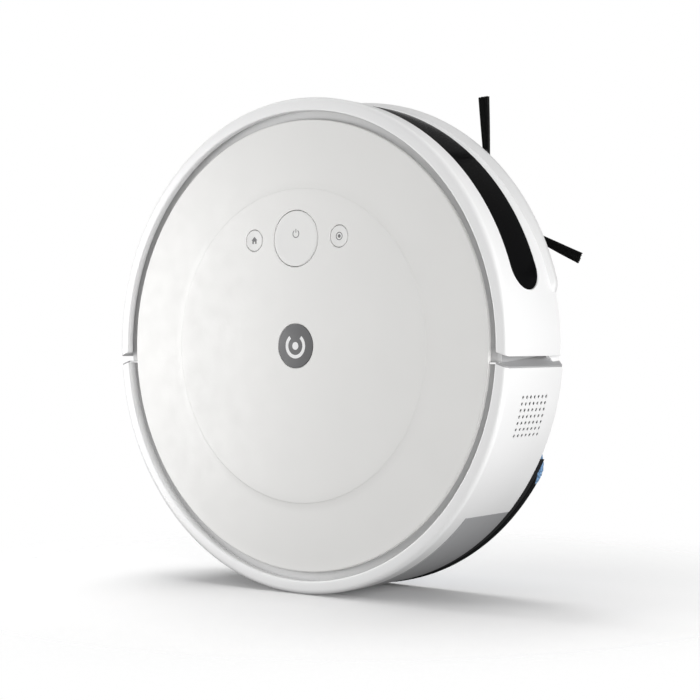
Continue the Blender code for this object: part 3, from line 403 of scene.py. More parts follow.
def worn_plastic(name, colour, roughness, wear=2.2, depth=0.03):
    """Coarse-grained black plastic with paler, rubbed edges."""
    nodes = Nodes(name)
    grainy = nodes.noise(nodes.place(), 0.7, detail=3, roughness=0.65)
    scuffs = nodes.noise(nodes.place((1, 0.15, 1)), 9, detail=6)
    edges = nodes.add("NewGeometry").outputs["Pointiness"]
    worn = nodes.maths("MULTIPLY", nodes.between(edges, 0, 1, 0.52, 0.62), nodes.between(scuffs, 0.2, 1))
    base = nodes.blend(nodes.between(grainy, 0, 1), shade(colour, 0.8), shade(colour, 1.25))
    tone = nodes.blend(worn, base, shade(colour, wear))
    gloss = nodes.between(scuffs, roughness - 0.08, roughness + 0.08)
    return nodes.finish(tone, gloss, nodes.bump(grainy, depth))


def tinted_window(name):
    """Infrared-clear black plastic: deep gloss under a faint haze of dust."""
    nodes = Nodes(name)
    where = nodes.place()
    dust = nodes.noise(where, 1.1, detail=6, roughness=0.75)
    haze = nodes.noise(where, 45, detail=2)
    dusted = nodes.maths("MULTIPLY", nodes.between(dust, 0, 1, 0.55, 0.8), nodes.between(haze, 0.2, 1))
    tone = nodes.blend(dusted, (0.003, 0.003, 0.0033), (0.012, 0.012, 0.0125))
    gloss = nodes.between(dusted, 0.2, 0.45, 0, 1)
    return nodes.finish(tone, gloss, nodes.bump(haze, 0.05), {"Specular IOR Level": 0.06})


def brushed_metal(name, colour, roughness, stretch=(1, 1, 0.02)):
    nodes = Nodes(name)
    lines = nodes.noise(nodes.place(stretch), 0.25, detail=4)
    blotches = nodes.noise(nodes.place(), 8, detail=4)
    tone = nodes.blend(nodes.between(lines, 0, 1), shade(colour, 0.85), colour)
    gloss = nodes.between(blotches, roughness - 0.06, roughness + 0.1)
    return nodes.finish(tone, gloss, nodes.bump(lines, 0.006), {"Metallic": 1.0})


def rubber(name, colour, roughness=0.78):
    nodes = Nodes(name)
    where = nodes.place()
    pores = nodes.noise(where, 0.4, detail=5, roughness=0.7)
    dust = nodes.noise(where, 5, detail=6, roughness=0.7)
    tone = nodes.blend(nodes.between(dust, 0, 0.5, 0.45, 0.75), colour, shade(colour, 2.4))
    gloss = nodes.between(pores, roughness - 0.1, roughness + 0.1)
    return nodes.finish(tone, gloss, nodes.bump(pores, 0.03))


def fibres(name, colour, stretch, size=0.18, sheen=0.2):
    """Fine strands laid along one direction, for bristles and brush hair."""
    nodes = Nodes(name)
    strands = nodes.noise(nodes.place(stretch), size, detail=3)
    tufts = nodes.noise(nodes.place(), 3, detail=3)
    base = nodes.blend(nodes.between(strands, 0, 1), shade(colour, 0.6), shade(colour, 1.7))
    tone = nodes.blend(nodes.between(tufts, 0, 0.4), base, shade(colour, 0.7))
    others = {"Sheen Weight": sheen, "Specular IOR Level": 0.25}
    return nodes.finish(tone, nodes.between(strands, 0.5, 0.75), nodes.bump(strands, 0.02), others)


def microfibre(name, colour):
    """Looped cleaning cloth: rows of small loops, with painted shade between them, and a soft sheen."""
    nodes = Nodes(name)
    where = nodes.place()
    fuzz = nodes.noise(where, 0.35, detail=6, roughness=0.8)
    soil = nodes.noise(where, 40, detail=4)
    # Painted shade: the cloth's colour darkens between the loops, where shade falls.
    deep = nodes.between(nodes.cells(where, 1.6, 0.8), 1, 0, 0.1, 0.75)
    loops = nodes.blend(deep, shade(colour, 0.5), shade(colour, 1.25))
    tone = nodes.blend(nodes.between(soil, 0, 0.25), loops, shade(colour, 0.7))
    raised = nodes.bump(fuzz, 0.15, nodes.bump(deep, 0.5))
    others = {"Sheen Weight": 0.6, "Sheen Roughness": 0.4}
    return nodes.finish(tone, nodes.between(fuzz, 0.85, 1.0), raised, others)


def circuit(name):
    """Green board with paler copper tracks under the lacquer and bright pads."""
    nodes = Nodes(name)
    where = nodes.place()
    brick = nodes.add("TexBrick", {"Vector": where, "Scale": 1 / (11 * MM), "Mortar Size": 0.06})
    base = nodes.blend(brick.outputs["Fac"], (0.01, 0.11, 0.045), (0.04, 0.26, 0.1))
    pads = nodes.between(nodes.cells(where, 5, 0.3), 1, 0, 0.1, 0.16)
    tone = nodes.blend(pads, base, (0.55, 0.5, 0.4))
    return nodes.finish(tone, nodes.between(nodes.noise(where, 3), 0.3, 0.5))


def paper(name, colour):
    nodes = Nodes(name)
    web = nodes.noise(nodes.place(), 0.5, detail=8, roughness=0.8)
    tone = nodes.blend(nodes.between(web, 0, 1), shade(colour, 0.8), colour)
    return nodes.finish(tone, nodes.between(web, 0.85, 1.0), nodes.bump(web, 0.08))


def backdrop(name, tone, near, far):
    """Floor paint that is seen from its front only, and that fades out with distance."""
    nodes = Nodes(name)
    matt = nodes.add("BsdfDiffuse", {"Color": grey(tone)})
    clear = nodes.add("BsdfTransparent")
    behind = nodes.add("NewGeometry").outputs["Backfacing"]
    place = nodes.add("TexCoord").outputs["Object"]
    away = nodes.add("VectorMath", {0: place}, operation="LENGTH").outputs["Value"]
    inputs = {"Value": away, "From Min": near, "From Max": far}
    fade = nodes.add("MapRange", inputs, interpolation_type="SMOOTHSTEP")
    hidden = nodes.maths("MAXIMUM", fade.outputs[0], behind)
    mix = nodes.add("MixShader", {0: hidden, 1: matt.outputs[0], 2: clear.outputs[0]})
    nodes.fill(nodes.tree.nodes["Material Output"], {"Surface": mix.outputs[0]})
    nodes.tree.nodes.remove(nodes.shader)
    return nodes.material


SHELL_WHITE = plastic("shell_white", grey(0.86), 0.34, depth=0.002, drift=0.008, coat=0.15)
# Painted shade: the bumper's lip is the shell's white made greyer, for the shade on its slope.
LIP_PAINTED_SHADE = plastic("lip_painted_shade", grey(0.715), 0.4, depth=0.002, drift=0.008)
PLATE_WHITE = plastic("plate_white", (0.80, 0.795, 0.78), 0.36, grain=0.35, drift=0.01)
BUTTON_WHITE = plastic("button_white", (0.80, 0.797, 0.785), 0.42, grain=0.3, depth=0.003, drift=0.012)
FRAME_GREY = plastic("frame_grey", grey(0.63), 0.5, depth=0.008, drift=0.02)
# Dark grey for the inner frame behind the split, and painted shade on the split caps that close the white
# rear cover's ends.
SPLIT_GREY_AND_PAINTED_SHADE = plastic("split_grey_and_painted_shade", (0.37, 0.37, 0.375), 0.55, depth=0.008, drift=0.02)
MID_GREY = plastic("mid_grey", (0.3, 0.3, 0.305), 0.5, depth=0.012)
EMBLEM_GREY = plastic("emblem_grey", (0.115, 0.115, 0.118), 0.5, grain=0.25, depth=0.003)
PRINT_WHITE = plastic("print_white", grey(0.85), 0.5, grain=0.2, drift=0.01)
PRINT_GREY = plastic("print_grey", (0.16, 0.16, 0.165), 0.5, grain=0.2, drift=0.02)
CHARCOAL = worn_plastic("charcoal", (0.028, 0.028, 0.03), 0.5)
DARK_GREY = worn_plastic("dark_grey", (0.07, 0.07, 0.073), 0.5, wear=1.8)
SMOKED = plastic("smoked_bin", (0.37, 0.372, 0.38), 0.4, grain=0.6, depth=0.0015, drift=0.01, coat=0.1)
MOP_BLACK = worn_plastic("mop_black", (0.003, 0.003, 0.0035), 0.75, wear=1.3, depth=0.01)
# Black fibres for the cloth's hem, also used as painted shade plugging the speaker holes.
HEM_BLACK_AND_HOLE_SHADE = fibres("hem_black_and_hole_shade", (0.0035, 0.004, 0.0045), (1, 1, 0.4), size=0.3, sheen=0)
WINDOW_BLACK = tinted_window("window_black")
STEEL = brushed_metal("steel", (0.62, 0.62, 0.63), 0.3)
CONTACT = brushed_metal("contact_metal", (0.83, 0.66, 0.36), 0.28, stretch=(0.02, 1, 1))
TYRE = rubber("tyre_rubber", grey(0.022))
SOFT_RUBBER = rubber("soft_rubber", (0.05, 0.05, 0.055), 0.6)
BRISTLES = fibres("bristle_black", grey(0.008), (1, 1, 1), sheen=0)
BRUSH_HAIR = fibres("brush_hair", (0.03, 0.07, 0.16), (0.1, 1, 1))
ACETAL = plastic("gear_acetal", (0.7, 0.69, 0.64), 0.42, depth=0.006)
BOARD = circuit("circuit_board")
FILTER_PAPER = paper("filter_paper", (0.74, 0.76, 0.73))
CLOTH = microfibre("microfibre_blue", (0.2, 0.37, 0.62))


# ---------------------------------------------------------------- bumper and rear shell


def split_angle(radius, edge_y):
    """How far behind the side axis the split lies, at a radius: it slants back outside the ring."""
    return math.asin((edge_y + max(0.0, radius - SLANT_FROM) * END_SLANT) / radius)


def ring_section(bottom, lip_bottom):
    """Section of the outer ring and wall, rounded at the shoulder, foot and inner lip."""
    inner, lip_back = RADIUS - SHELL_WALL, RING_INNER + 2 * MM
    wall = [(RADIUS, RING_TOP, 3.4 * MM), (RADIUS, bottom, 1.2 * MM), (inner, bottom, 0.3 * MM)]
    under = [(inner, RING_UNDERSIDE, 1.5 * MM), (lip_back, RING_UNDERSIDE, 0), (lip_back, lip_bottom, 0)]
    lip = [(RING_INNER, lip_bottom, 0.2 * MM), (RING_INNER, RING_TOP, 1.1 * MM)]
    return rounded(wall + under + lip, 7)


def sweep_section(section, edge_y, front, share, along, pull):
    """One section of a sweep: a share of the way round, held back from the end and pulled in."""
    points = []
    for r, z in inset(section, pull) if pull else section:
        behind = split_angle(r, edge_y)
        start, span = (math.pi - behind, math.pi + 2 * behind) if front else (behind, math.pi - 2 * behind)
        back = along / r if share < 0.5 else -along / r
        points.append(polar(r, start + share * span + back, z))
    return points


def ring_sector(name, section, edge_y, front):
    """The section swept round the front or the back, with rounded, slanted ends."""
    columns, edge = 220, 0.45 * MM
    arc = rounding(edge, 4)
    stops = [(0, along, pull) for pull, along in arc]
    stops += [(i / columns, 0, 0) for i in range(1, columns)]
    stops += [(1, along, pull) for pull, along in arc[::-1]]
    return lofted(name, [sweep_section(section, edge_y, front, *stop) for stop in stops])


def window_band(name, levels, shift=0.0):
    """A band round the front with half-round ends. Levels are (radius, growth of its half height)."""
    end_steps, middle_steps, thinnest = 14, 150, 0.02 * MM
    half, start = WINDOW_HALF - shift, WINDOW_END + shift / RADIUS
    turns = evenly(0, math.pi / 2, end_steps)[1:]
    ends = [(start + half / RADIUS * (1 - math.cos(a)), half * math.sin(a)) for a in turns]
    full = ends[-1][0]
    middle = [(angle, half) for angle in evenly(full, math.pi - full, middle_steps)[1:-1]]
    far_ends = [(math.pi - angle, reach) for angle, reach in ends[::-1]]
    sections = []
    for angle, reach in ends + middle + far_ends:
        upper = []
        for radius, grow in levels:
            shrunk = min(reach, max(thinnest, reach + grow))
            upper.append((radius, shrunk if grow < 0 else reach + grow))
        corners = upper + [(radius, -rise) for radius, rise in upper[::-1]]
        sections.append([polar(r, math.pi + angle, WINDOW_MIDDLE + rise) for r, rise in corners])
    return lofted(name, sections)


def make_bumper():
    section = ring_section(BUMPER_BOTTOM, RING_UNDERSIDE - 1.4 * MM)
    bumper = ring_sector("bumper_shell", section, BUMPER_END, True)
    flare, past = 0.5 * MM, 3 * MM
    mouth = [(RADIUS + past, past + flare), (RADIUS - flare, 0), (RADIUS - 2 * SHELL_WALL, 0)]
    carve(bumper, window_band("window_mouth", mouth))
    dress(make_lip(), LIP_PAINTED_SHADE, "bumper")
    dress(bumper, SHELL_WHITE, "bumper", "bumper")
    face, back, soften = RADIUS - 0.5 * MM, RADIUS - SHELL_WALL, 0.25 * MM
    window = window_band("window_lens", [(face, -soften), (face - soften, 0), (back, 0)], shift=0.2 * MM)
    dress(window, WINDOW_BLACK, "bumper", "sensor_window")


def make_lip():
    """The flare along the bumper's foot, in a greyer white that is painted shade on its slope, fading out
    towards both ends.
    """
    fade, slope_fade = math.radians(2.2), math.radians(32)
    root, foot, slope_foot = RADIUS - 1.2 * MM, BUMPER_BOTTOM + 0.02 * MM, BUMPER_BOTTOM + 3.5 * MM
    columns, least_flare, least_slope = 200, 0.08, 0.3
    sections = []
    for angle in evenly(LIP_END, math.pi - LIP_END, columns):
        from_end = max(0.0, min(angle - LIP_END, math.pi - LIP_END - angle))
        share = math.sin(math.pi / 2 * min(1.0, from_end / fade))
        out = RADIUS + (LIP_RADIUS - RADIUS) * max(least_flare, share)
        slope_top = slope_foot + 6 * MM * min(1.0, least_slope + from_end / slope_fade)
        slope = [(root, slope_top + 1 * MM, 0), (RADIUS - 0.05 * MM, slope_top, 0)]
        nose = [(out, slope_foot, 0.9 * MM), (out, foot, 0.8 * MM), (root, foot, 0)]
        sections.append([polar(r, math.pi + angle, z) for r, z in rounded(slope + nose, 4)])
    return lofted("bumper_lip", sections)


def grille_pins(name, depths):
    """A round pin at each speaker hole: depths are (distance out from the wall's middle, radius)."""
    sides = 14
    pins = []
    for angle in evenly(math.pi - GRILLE_FIRST, math.pi - GRILLE_LAST, GRILLE_GAPS):
        outward, across = Vector(polar(1, angle, 0)), Vector(polar(1, angle + math.pi / 2, 0))
        for height in evenly(GRILLE_BOTTOM, GRILLE_TOP, GRILLE_GAPS):
            middle = outward * (RADIUS - SHELL_WALL / 2) + Vector((0, 0, height))
            pin = []
            for depth, radius in depths:
                ring = circle(radius, sides)
                pin.append([middle + outward * depth + across * a + Vector((0, 0, b)) for a, b in ring])
            pins.append(pin)
    return lofted(name, *pins)


def make_rear_shell():
    section = ring_section(SHELL_BOTTOM, GROOVE_FLOOR + 0.3 * MM)
    shell = ring_sector("rear_cover", section, REAR_START, False)
    low = (-BIN_OPENING, BIN_FRONT - 1.5 * MM, 0)
    carve(shell, block("bin_mouth", low, (BIN_OPENING, PAST_REAR, BIN_OPENING_TOP)))
    countersunk = (-4 * MM, GRILLE_HOLE), (1.2 * MM, GRILLE_HOLE), (2 * MM, GRILLE_HOLE + 0.3 * MM)
    carve(shell, grille_pins("grille_tool", countersunk))
    dress(shell, SHELL_WHITE, "root", "rear_shell")
    for side, name in SIDES:
        make_groove_end(side, name)
        make_side_skirt(side, name)
        make_split_cap(side, name)
    # Black plugs sunk in the speaker holes: painted shade that darkens the holes.
    loose = GRILLE_HOLE - 0.06 * MM
    mesh = grille_pins("grille_hole_painted_shade", ((-5 * MM, loose), (0.75 * MM, loose)))
    dress(mesh, HEM_BLACK_AND_HOLE_SHADE, "root")


def make_split_cap(side, name):
    """The wall that closes the end of the rear cover, in a dark grey that is painted shade on the cover's
    white end: its inner edge leans forward towards the foot.
    """
    edge = 0.25 * MM
    outer, inner = RADIUS - edge, FRAME_RADIUS + 0.4 * MM
    ramp_top, ramp = 75 * MM, 5.4 * MM
    outline = [(outer, RING_TOP - edge, 3.3 * MM), (outer, SHELL_BOTTOM + edge, 1.1 * MM)]
    outline += [(inner, SHELL_BOTTOM + edge, 0), (inner, RING_UNDERSIDE, 0)]
    outline += [(RING_INNER + edge, RING_UNDERSIDE, 0), (RING_INNER + edge, RING_TOP - edge, 1.1 * MM)]
    sections = []
    for ahead, lean in ((1.0 * MM, ramp), (-0.6 * MM, 0)):
        section = []
        for r, z in rounded(outline):
            inward = min(1.0, max(0.0, (outer - r) / (outer - inner)))
            down = min(1.0, max(0.0, (ramp_top - z) / (ramp_top - SHELL_BOTTOM)))
            angle = split_angle(r, REAR_START) - (ahead + lean * inward * down) / r
            section.append(polar(r, angle if side > 0 else math.pi - angle, z))
        sections.append(section)
    dress(lofted(f"split_cap_{name}", sections), SPLIT_GREY_AND_PAINTED_SHADE, "root")


def at_side(side, radius, y, z):
    """A point at a radius on one side of the robot."""
    return side * math.sqrt(radius**2 - y**2), y, z


def make_groove_end(side, name):
    """The thin white wall that closes the groove where the rear cover starts."""
    front, foot = REAR_START + 0.15 * MM, GROOVE_FLOOR + 0.3 * MM
    back = front + 1.3 * MM
    inner, outer = PLATE_RADIUS + 0.35 * MM, RING_INNER + 0.3 * MM
    sections = []
    for radius, rise in ((inner, dome_height(PLATE_RADIUS) - 0.5 * MM), (outer, RING_TOP - 1.1 * MM)):
        corners = [(front, foot, 0), (front, rise, 0.4 * MM), (back, rise, 0.4 * MM), (back, foot, 0)]
        sections.append([at_side(side, radius, y, z) for y, z in rounded(corners, 3)])
    dress(lofted(f"groove_end_{name}", sections), SHELL_WHITE, "root")


def make_side_skirt(side, name):
    """The base's white skirt behind the split: its rear edge runs down at a slant."""
    inner, outer, top, foot = 164.2 * MM, 166.9 * MM, 25 * MM, SHELL_BOTTOM + 0.4 * MM
    front, high_length, low_length = -8 * MM, 15 * MM, 24 * MM
    sections = []
    for share in evenly(0, 1, 12):
        high_y, low_y = front + share * high_length, front + share * low_length
        corners = (outer, high_y, top), (outer, low_y, foot), (inner, low_y, foot), (inner, high_y, top)
        sections.append([at_side(side, *corner) for corner in corners])
    dress(lofted(f"side_skirt_{name}", sections), SHELL_WHITE, "root")


# ---------------------------------------------------------------- top plate and its buttons

CONTROL_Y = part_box("clean_button")[0].y / 2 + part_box("clean_button")[1].y / 2
CAP_RADII = {"clean_button": 19.2 * MM, "home_button": 7.3 * MM, "spot_button": 7.3 * MM}
BUTTONS = {name: ((cad(name)[2].x, CONTROL_Y), radius) for name, radius in CAP_RADII.items()}
BUTTON_DISH, BUTTON_DROP = 0.25 * MM, 0.1 * MM
EMBLEM_RADIUS, EMBLEM_RECESS = 15.1 * MM, 0.9 * MM


def make_top_plate():
    edge, step, inner_pitch, outer_pitch = 1.0 * MM, 0.45 * MM, 6 * MM, 6.6 * MM
    slope = step * 1.5
    radii = [i * inner_pitch for i in range(1, 18)]
    radii += [INNER_DISC - step * 2, INNER_DISC - step, INNER_DISC, INNER_DISC + step]
    radii += [INNER_DISC + inner_pitch + i * outer_pitch for i in range(7)]
    top = [(AXIS_GAP, dome_height(0))]
    for r in radii:
        on_step = abs(r - INNER_DISC) <= slope
        rise = dome_height(INNER_DISC + 1 * MM if on_step else r)
        if on_step:
            rise += INNER_STEP * max(0.0, min(1.0, (INNER_DISC + step / 2 - r) / slope))
        top.append((r, rise))
    rim_top = dome_height(PLATE_RADIUS)
    top += [(PLATE_RADIUS - back, rim_top + 0.06 * MM - drop) for back, drop in rounding(edge, 5)]
    under = rim_top - 2.4 * MM
    foot = [(PLATE_RADIUS, under), (PLATE_RADIUS - 6 * MM, under), (AXIS_GAP, dome_height(0) - 2.8 * MM)]
    plate = turned("control_plate", top + foot)
    seats = [(at, cap + 0.4 * MM, 8 * MM) for at, cap in BUTTONS.values()]
    for at, hole, depth in seats + [((0, 0), EMBLEM_RADIUS + 0.3 * MM, EMBLEM_RECESS)]:
        level = dome_height(math.hypot(*at))
        flare, above, bevel = hole + 5.3 * MM, level + 5 * MM, level - 0.3 * MM
        seat = [(flare, above, 0), (hole, bevel, 0), (hole, level - depth, 0)]
        carve(plate, turned_solid("seat", seat, 96, at))
    dress(plate, PLATE_WHITE, "root", "top_plate")
    smooth(plate, 20)


def button_face(x, y, at, radius):
    """Height of a button's slightly dished face."""
    dish = BUTTON_DISH * (1 - (math.dist((x, y), at) / radius) ** 2)
    return dome_height(math.hypot(x, y)) - BUTTON_DROP - dish


def make_buttons():
    sides, rings, edge = 72, 8, 0.5 * MM
    for name, (at, radius) in BUTTONS.items():
        bm = bmesh.new()
        rows = []
        flat = [(radius * k / rings, 0) for k in range(1, rings)]
        for r, drop in flat + [(radius - back, drop) for back, drop in rounding(edge, 4)]:
            spots = [polar(r, math.tau * i / sides, at=at) for i in range(sides)]
            rows.append([bm.verts.new((x, y, button_face(x, y, at, radius) - drop)) for x, y in spots])
        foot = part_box(name)[0].z + 3 * MM
        rows.append([bm.verts.new((v.co.x, v.co.y, foot)) for v in rows[-1]])
        centre = bm.verts.new((*at, button_face(*at, at, radius)))
        for i in range(sides):
            j = (i + 1) % sides
            bm.faces.new((centre, rows[0][i], rows[0][j]))
            for a, b in zip(rows, rows[1:]):
                bm.faces.new((a[i], b[i], b[j], a[j]))
        bm.faces.new(rows[-1])
        bmesh.ops.recalc_face_normals(bm, faces=bm.faces)
        dress(new_object(f"{name}_cap", bm), BUTTON_WHITE, name, name)
        make_icon(name, at, radius)


def band(centre, radius, width, start=0, end=math.tau, steps=40):
    """An arc of a thin ring, as its outer and inner lines."""
    turns = evenly(start, end, steps)
    return [[polar(r, a, at=centre) for a in turns] for r in (radius + width / 2, radius - width / 2)]


def open_ring(centre, radius, width, gap, steps):
    """A ring that is open towards the robot's front."""
    return band(centre, radius, width, gap - math.pi / 2, 1.5 * math.pi - gap, steps)


def bar(start, end, width):
    """A straight stroke, as its two sides."""
    start, end = Vector(start), Vector(end)
    along = (end - start).normalized() * width / 2
    across = Vector((-along.y, along.x))
    return [[tuple(start + side), tuple(end + side)] for side in (-across, across)]


def print_on(name, ribbons, level, look, body):
    """Thin printed ribbons lying on a face whose height is level(x, y)."""
    thickness = 0.05 * MM
    parts = []
    for lines in ribbons:
        rows = []
        for a, b in zip(*lines):
            corners = (*a, thickness), (*b, thickness), (*b, -thickness), (*a, -thickness)
            rows.append([(x, y, level(x, y) + rise) for x, y, rise in corners])
        parts.append(rows)
    dress(lofted(name, *parts, weld=False), look, body)


def make_icon(name, at, radius):
    """A small sign on a button: power, house or a ringed dot. Its top points to the robot's front."""
    x, y = at
    if name == "clean_button":
        y -= 3.2 * MM
        ring = open_ring((x, y), 2.6 * MM, 0.6 * MM, math.radians(36), 40)
        shapes = [ring, bar((x, y - 3.3 * MM), (x, y - 0.7 * MM), 0.6 * MM)]
    elif name == "home_button":
        eave, top, foot = y - 0.1 * MM, y - 2.7 * MM, y + 2.3 * MM
        wide, wall, door, tip = 2.6 * MM, 1.9 * MM, 0.65 * MM, 0.05 * MM
        outer = [(x - wide, eave - tip), (x, top), (x + wide, eave - tip)]
        middle = (wall + door) / 2
        shapes = [[outer, [(x - wide, eave), (x, eave), (x + wide, eave)]]]
        shapes += [bar((x + k * middle, eave), (x + k * middle, foot), wall - door) for k in (-1, 1)]
        shapes.append(bar((x, eave), (x, eave + 0.8 * MM), 2 * door))
    else:
        shapes = [band(at, 2.5 * MM, 0.55 * MM), band(at, 0.6 * MM, 1.19 * MM, steps=20)]
    print_on(f"{name}_sign", shapes, lambda a, b: button_face(a, b, at, radius), PRINT_GREY, name)


def make_emblem():
    """The grey disc with a plain generic mark: an open ring round a dot."""
    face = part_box("emblem_disc")[1].z
    corners = [(EMBLEM_RADIUS, face, 0.35 * MM), (EMBLEM_RADIUS, face - 0.6 * MM, 0)]
    dress(turned_solid("emblem_badge", corners, 128), EMBLEM_GREY, "root", "emblem_disc")
    ring = open_ring((0, 0), 7.4 * MM, 2.4 * MM, math.radians(38), 60)
    dot = band((0, 0), 1.35 * MM, 2.69 * MM, steps=30)
    print_on("emblem_mark", [ring, dot], lambda x, y: face, PRINT_WHITE, "root")


def make_inner_frame():
    """The grey frame: the wall seen through the split and the floor of the groove."""
    inner, ledge, step = FRAME_RADIUS - 2 * MM, 150 * MM, 153 * MM
    under_groove, under_plate = GROOVE_FLOOR - 2 * MM, PLATE_EDGE_TOP - 2.7 * MM
    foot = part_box("upper_housing")[0].z
    wall = [(FRAME_RADIUS, GROOVE_FLOOR, 0.4 * MM), (FRAME_RADIUS, foot, 0), (inner, foot, 0)]
    wall += [(inner, under_groove, 0), (ledge, under_groove, 0), (ledge, under_plate, 0)]
    wall += [(step, under_plate, 0), (step, GROOVE_FLOOR, 0.5 * MM)]
    housing = turned("inner_frame", rounded(wall, 4))
    reach = BIN_OPENING + 0.6 * MM
    low = (-reach, BIN_FRONT - 1.5 * MM, 0)
    carve(housing, block("bin_room", low, (reach, PAST_REAR, BIN_OPENING_TOP + 0.6 * MM)))
    angle = math.pi - (GRILLE_FIRST + GRILLE_LAST) / 2
    middle = (GRILLE_TOP + GRILLE_BOTTOM) / 2
    ends = polar(140 * MM, angle, middle), polar(165 * MM, angle, middle)
    carve(housing, drum("speaker_port", 16 * MM, *ends))
    for side, _ in SIDES:
        x, z = side * 40 * MM, 45 * MM
        carve(housing, drum("spring_port", 4 * MM, (x, -140 * MM, z), (x, -166 * MM, z), 32))
    dress(housing, SPLIT_GREY_AND_PAINTED_SHADE, "root", "upper_housing")
    outer, inner = FRAME_RADIUS - 0.4 * MM, step + 0.4 * MM
    low, high = GROOVE_FLOOR - 0.1 * MM, GROOVE_FLOOR + 0.25 * MM
    lining = turned("groove_floor", [(outer, low), (outer, high), (inner, high), (inner, low)])
    dress(lining, FRAME_GREY, "root")


# ---------------------------------------------------------------- springs and screws


def tube(bm, path, radius, sides, taper=1.0):
    """A closed tube along a path of points, its end thinned by the taper."""
    sections = []
    last = len(path) - 1
    frame_x = None
    for i, point in enumerate(path):
        along = (path[min(i + 1, last)] - path[max(i - 1, 0)]).normalized()
        if frame_x is None:
            frame_x = along.orthogonal()
        frame_x = (frame_x - along * frame_x.dot(along)).normalized()
        frame_y = along.cross(frame_x)
        ring = circle(radius * (1 + (taper - 1) * i / last), sides)
        sections.append([point + frame_x * a + frame_y * b for a, b in ring])
    loft(bm, sections)


def spring(name, start, end, coil, wire, turns):
    """A steel coil spring with closed end turns."""
    start, end = Vector(start), Vector(end)
    turn = (end - start).to_track_quat("Z", "Y")
    length = (end - start).length - 2 * wire
    steps_per_turn, closed = 20, 0.08
    path = []
    for share in evenly(0, 1, turns * steps_per_turn):
        open_share = min(1, max(0, share * (1 + 2 * closed) - closed))
        rise = 0.5 - 0.5 * math.cos(math.pi * open_share)
        path.append(start + turn @ Vector(polar(coil, math.tau * turns * share, wire + length * rise)))
    bm = bmesh.new()
    tube(bm, path, wire, sides=8)
    return new_object(name, bm)


def make_springs():
    for _, name in SIDES:
        low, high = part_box(f"bumper_spring_{name}")
        x, z = (low.x + high.x) / 2 - AXIS_X, (low.z + high.z) / 2
        coil = spring(f"return_spring_{name}", (x, high.y, z), (x, low.y, z), 2.6 * MM, 0.45 * MM, 5)
        dress(coil, STEEL, "root")
        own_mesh(coil)
        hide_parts(f"bumper_spring_{name}")
        low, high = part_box(f"suspension_spring_{name}")
        x, y = (low.x + high.x) / 2 - AXIS_X, (low.y + high.y) / 2
        coil = spring(f"drop_spring_{name}", (x, y, low.z), (x, y, high.z), 4.2 * MM, 0.7 * MM, 6)
        dress(coil, STEEL, None, f"suspension_spring_{name}")
        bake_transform(coil)


def make_screw(name, at, z, body, sizes):
    """A cross-head screw seen from below.

    Sizes in mm: its radius, edge and height, then the cross's half length, half width and depth.
    """
    radius, edge, height, cross_long, cross_short, cross_deep = mm(sizes)[0]
    screw = turned_solid(name, [(radius, z, edge), (radius, z + height, 0)], 40, at)
    for half_x, half_y in ((cross_long, cross_short), (cross_short, cross_long)):
        x0, x1, y0, y1 = centred(*at, half_x, half_y)
        carve(screw, block("cross", (x0, y0, z - 1 * MM), (x1, y1, z + cross_deep)))
    dress(screw, STEEL, body)


# ---------------------------------------------------------------- underside

WELL, BRUSH_MOUTH, BATTERY_MOUTH, ARM_PIVOT, CASTER_AT, SIDE_BRUSH_AT, CONTACT_AT, FRONT_SCREW_AT = mm(
    (82, 122, -36, 66), (-86, 82, 26, 70), (-58.4, 58.4, -101.4, -46.6),
    (-24, 40), (0, -125), (-110.5, -90), (48, -119), (84, -112),
)
FLOOR_SCREWS = mm((-66, -20), (66, -20), (-66, 14), (66, 14), (-132, 58), (132, 58), (-30, -146), (30, -146))
CLIFF_RADIUS = 148 * MM
CLIFF_ANGLES = [math.radians(a) for a in (192, 242, 298, 348)]
CLIFF_SIZE = (9 * MM, 18 * MM)
BELOW, ABOVE = -0.01, 0.03


def well_sides(side):
    """The sides of the room that a drive wheel drops from."""
    return *sorted((side * WELL[0], side * WELL[1])), *WELL[2:]


def cliff_outline(angle, margin, radius):
    """A cliff window's outline, larger by a margin. Its long side follows the rim."""
    half_x, half_y = ((side + margin) / 2 for side in CLIFF_SIZE)
    flat = rectangle(*centred(0, 0, half_x, half_y), radius)
    turn, centre = Matrix.Rotation(angle, 2), Vector(polar(CLIFF_RADIUS, angle))
    return [tuple(turn @ Vector(point) + centre) for point in flat]


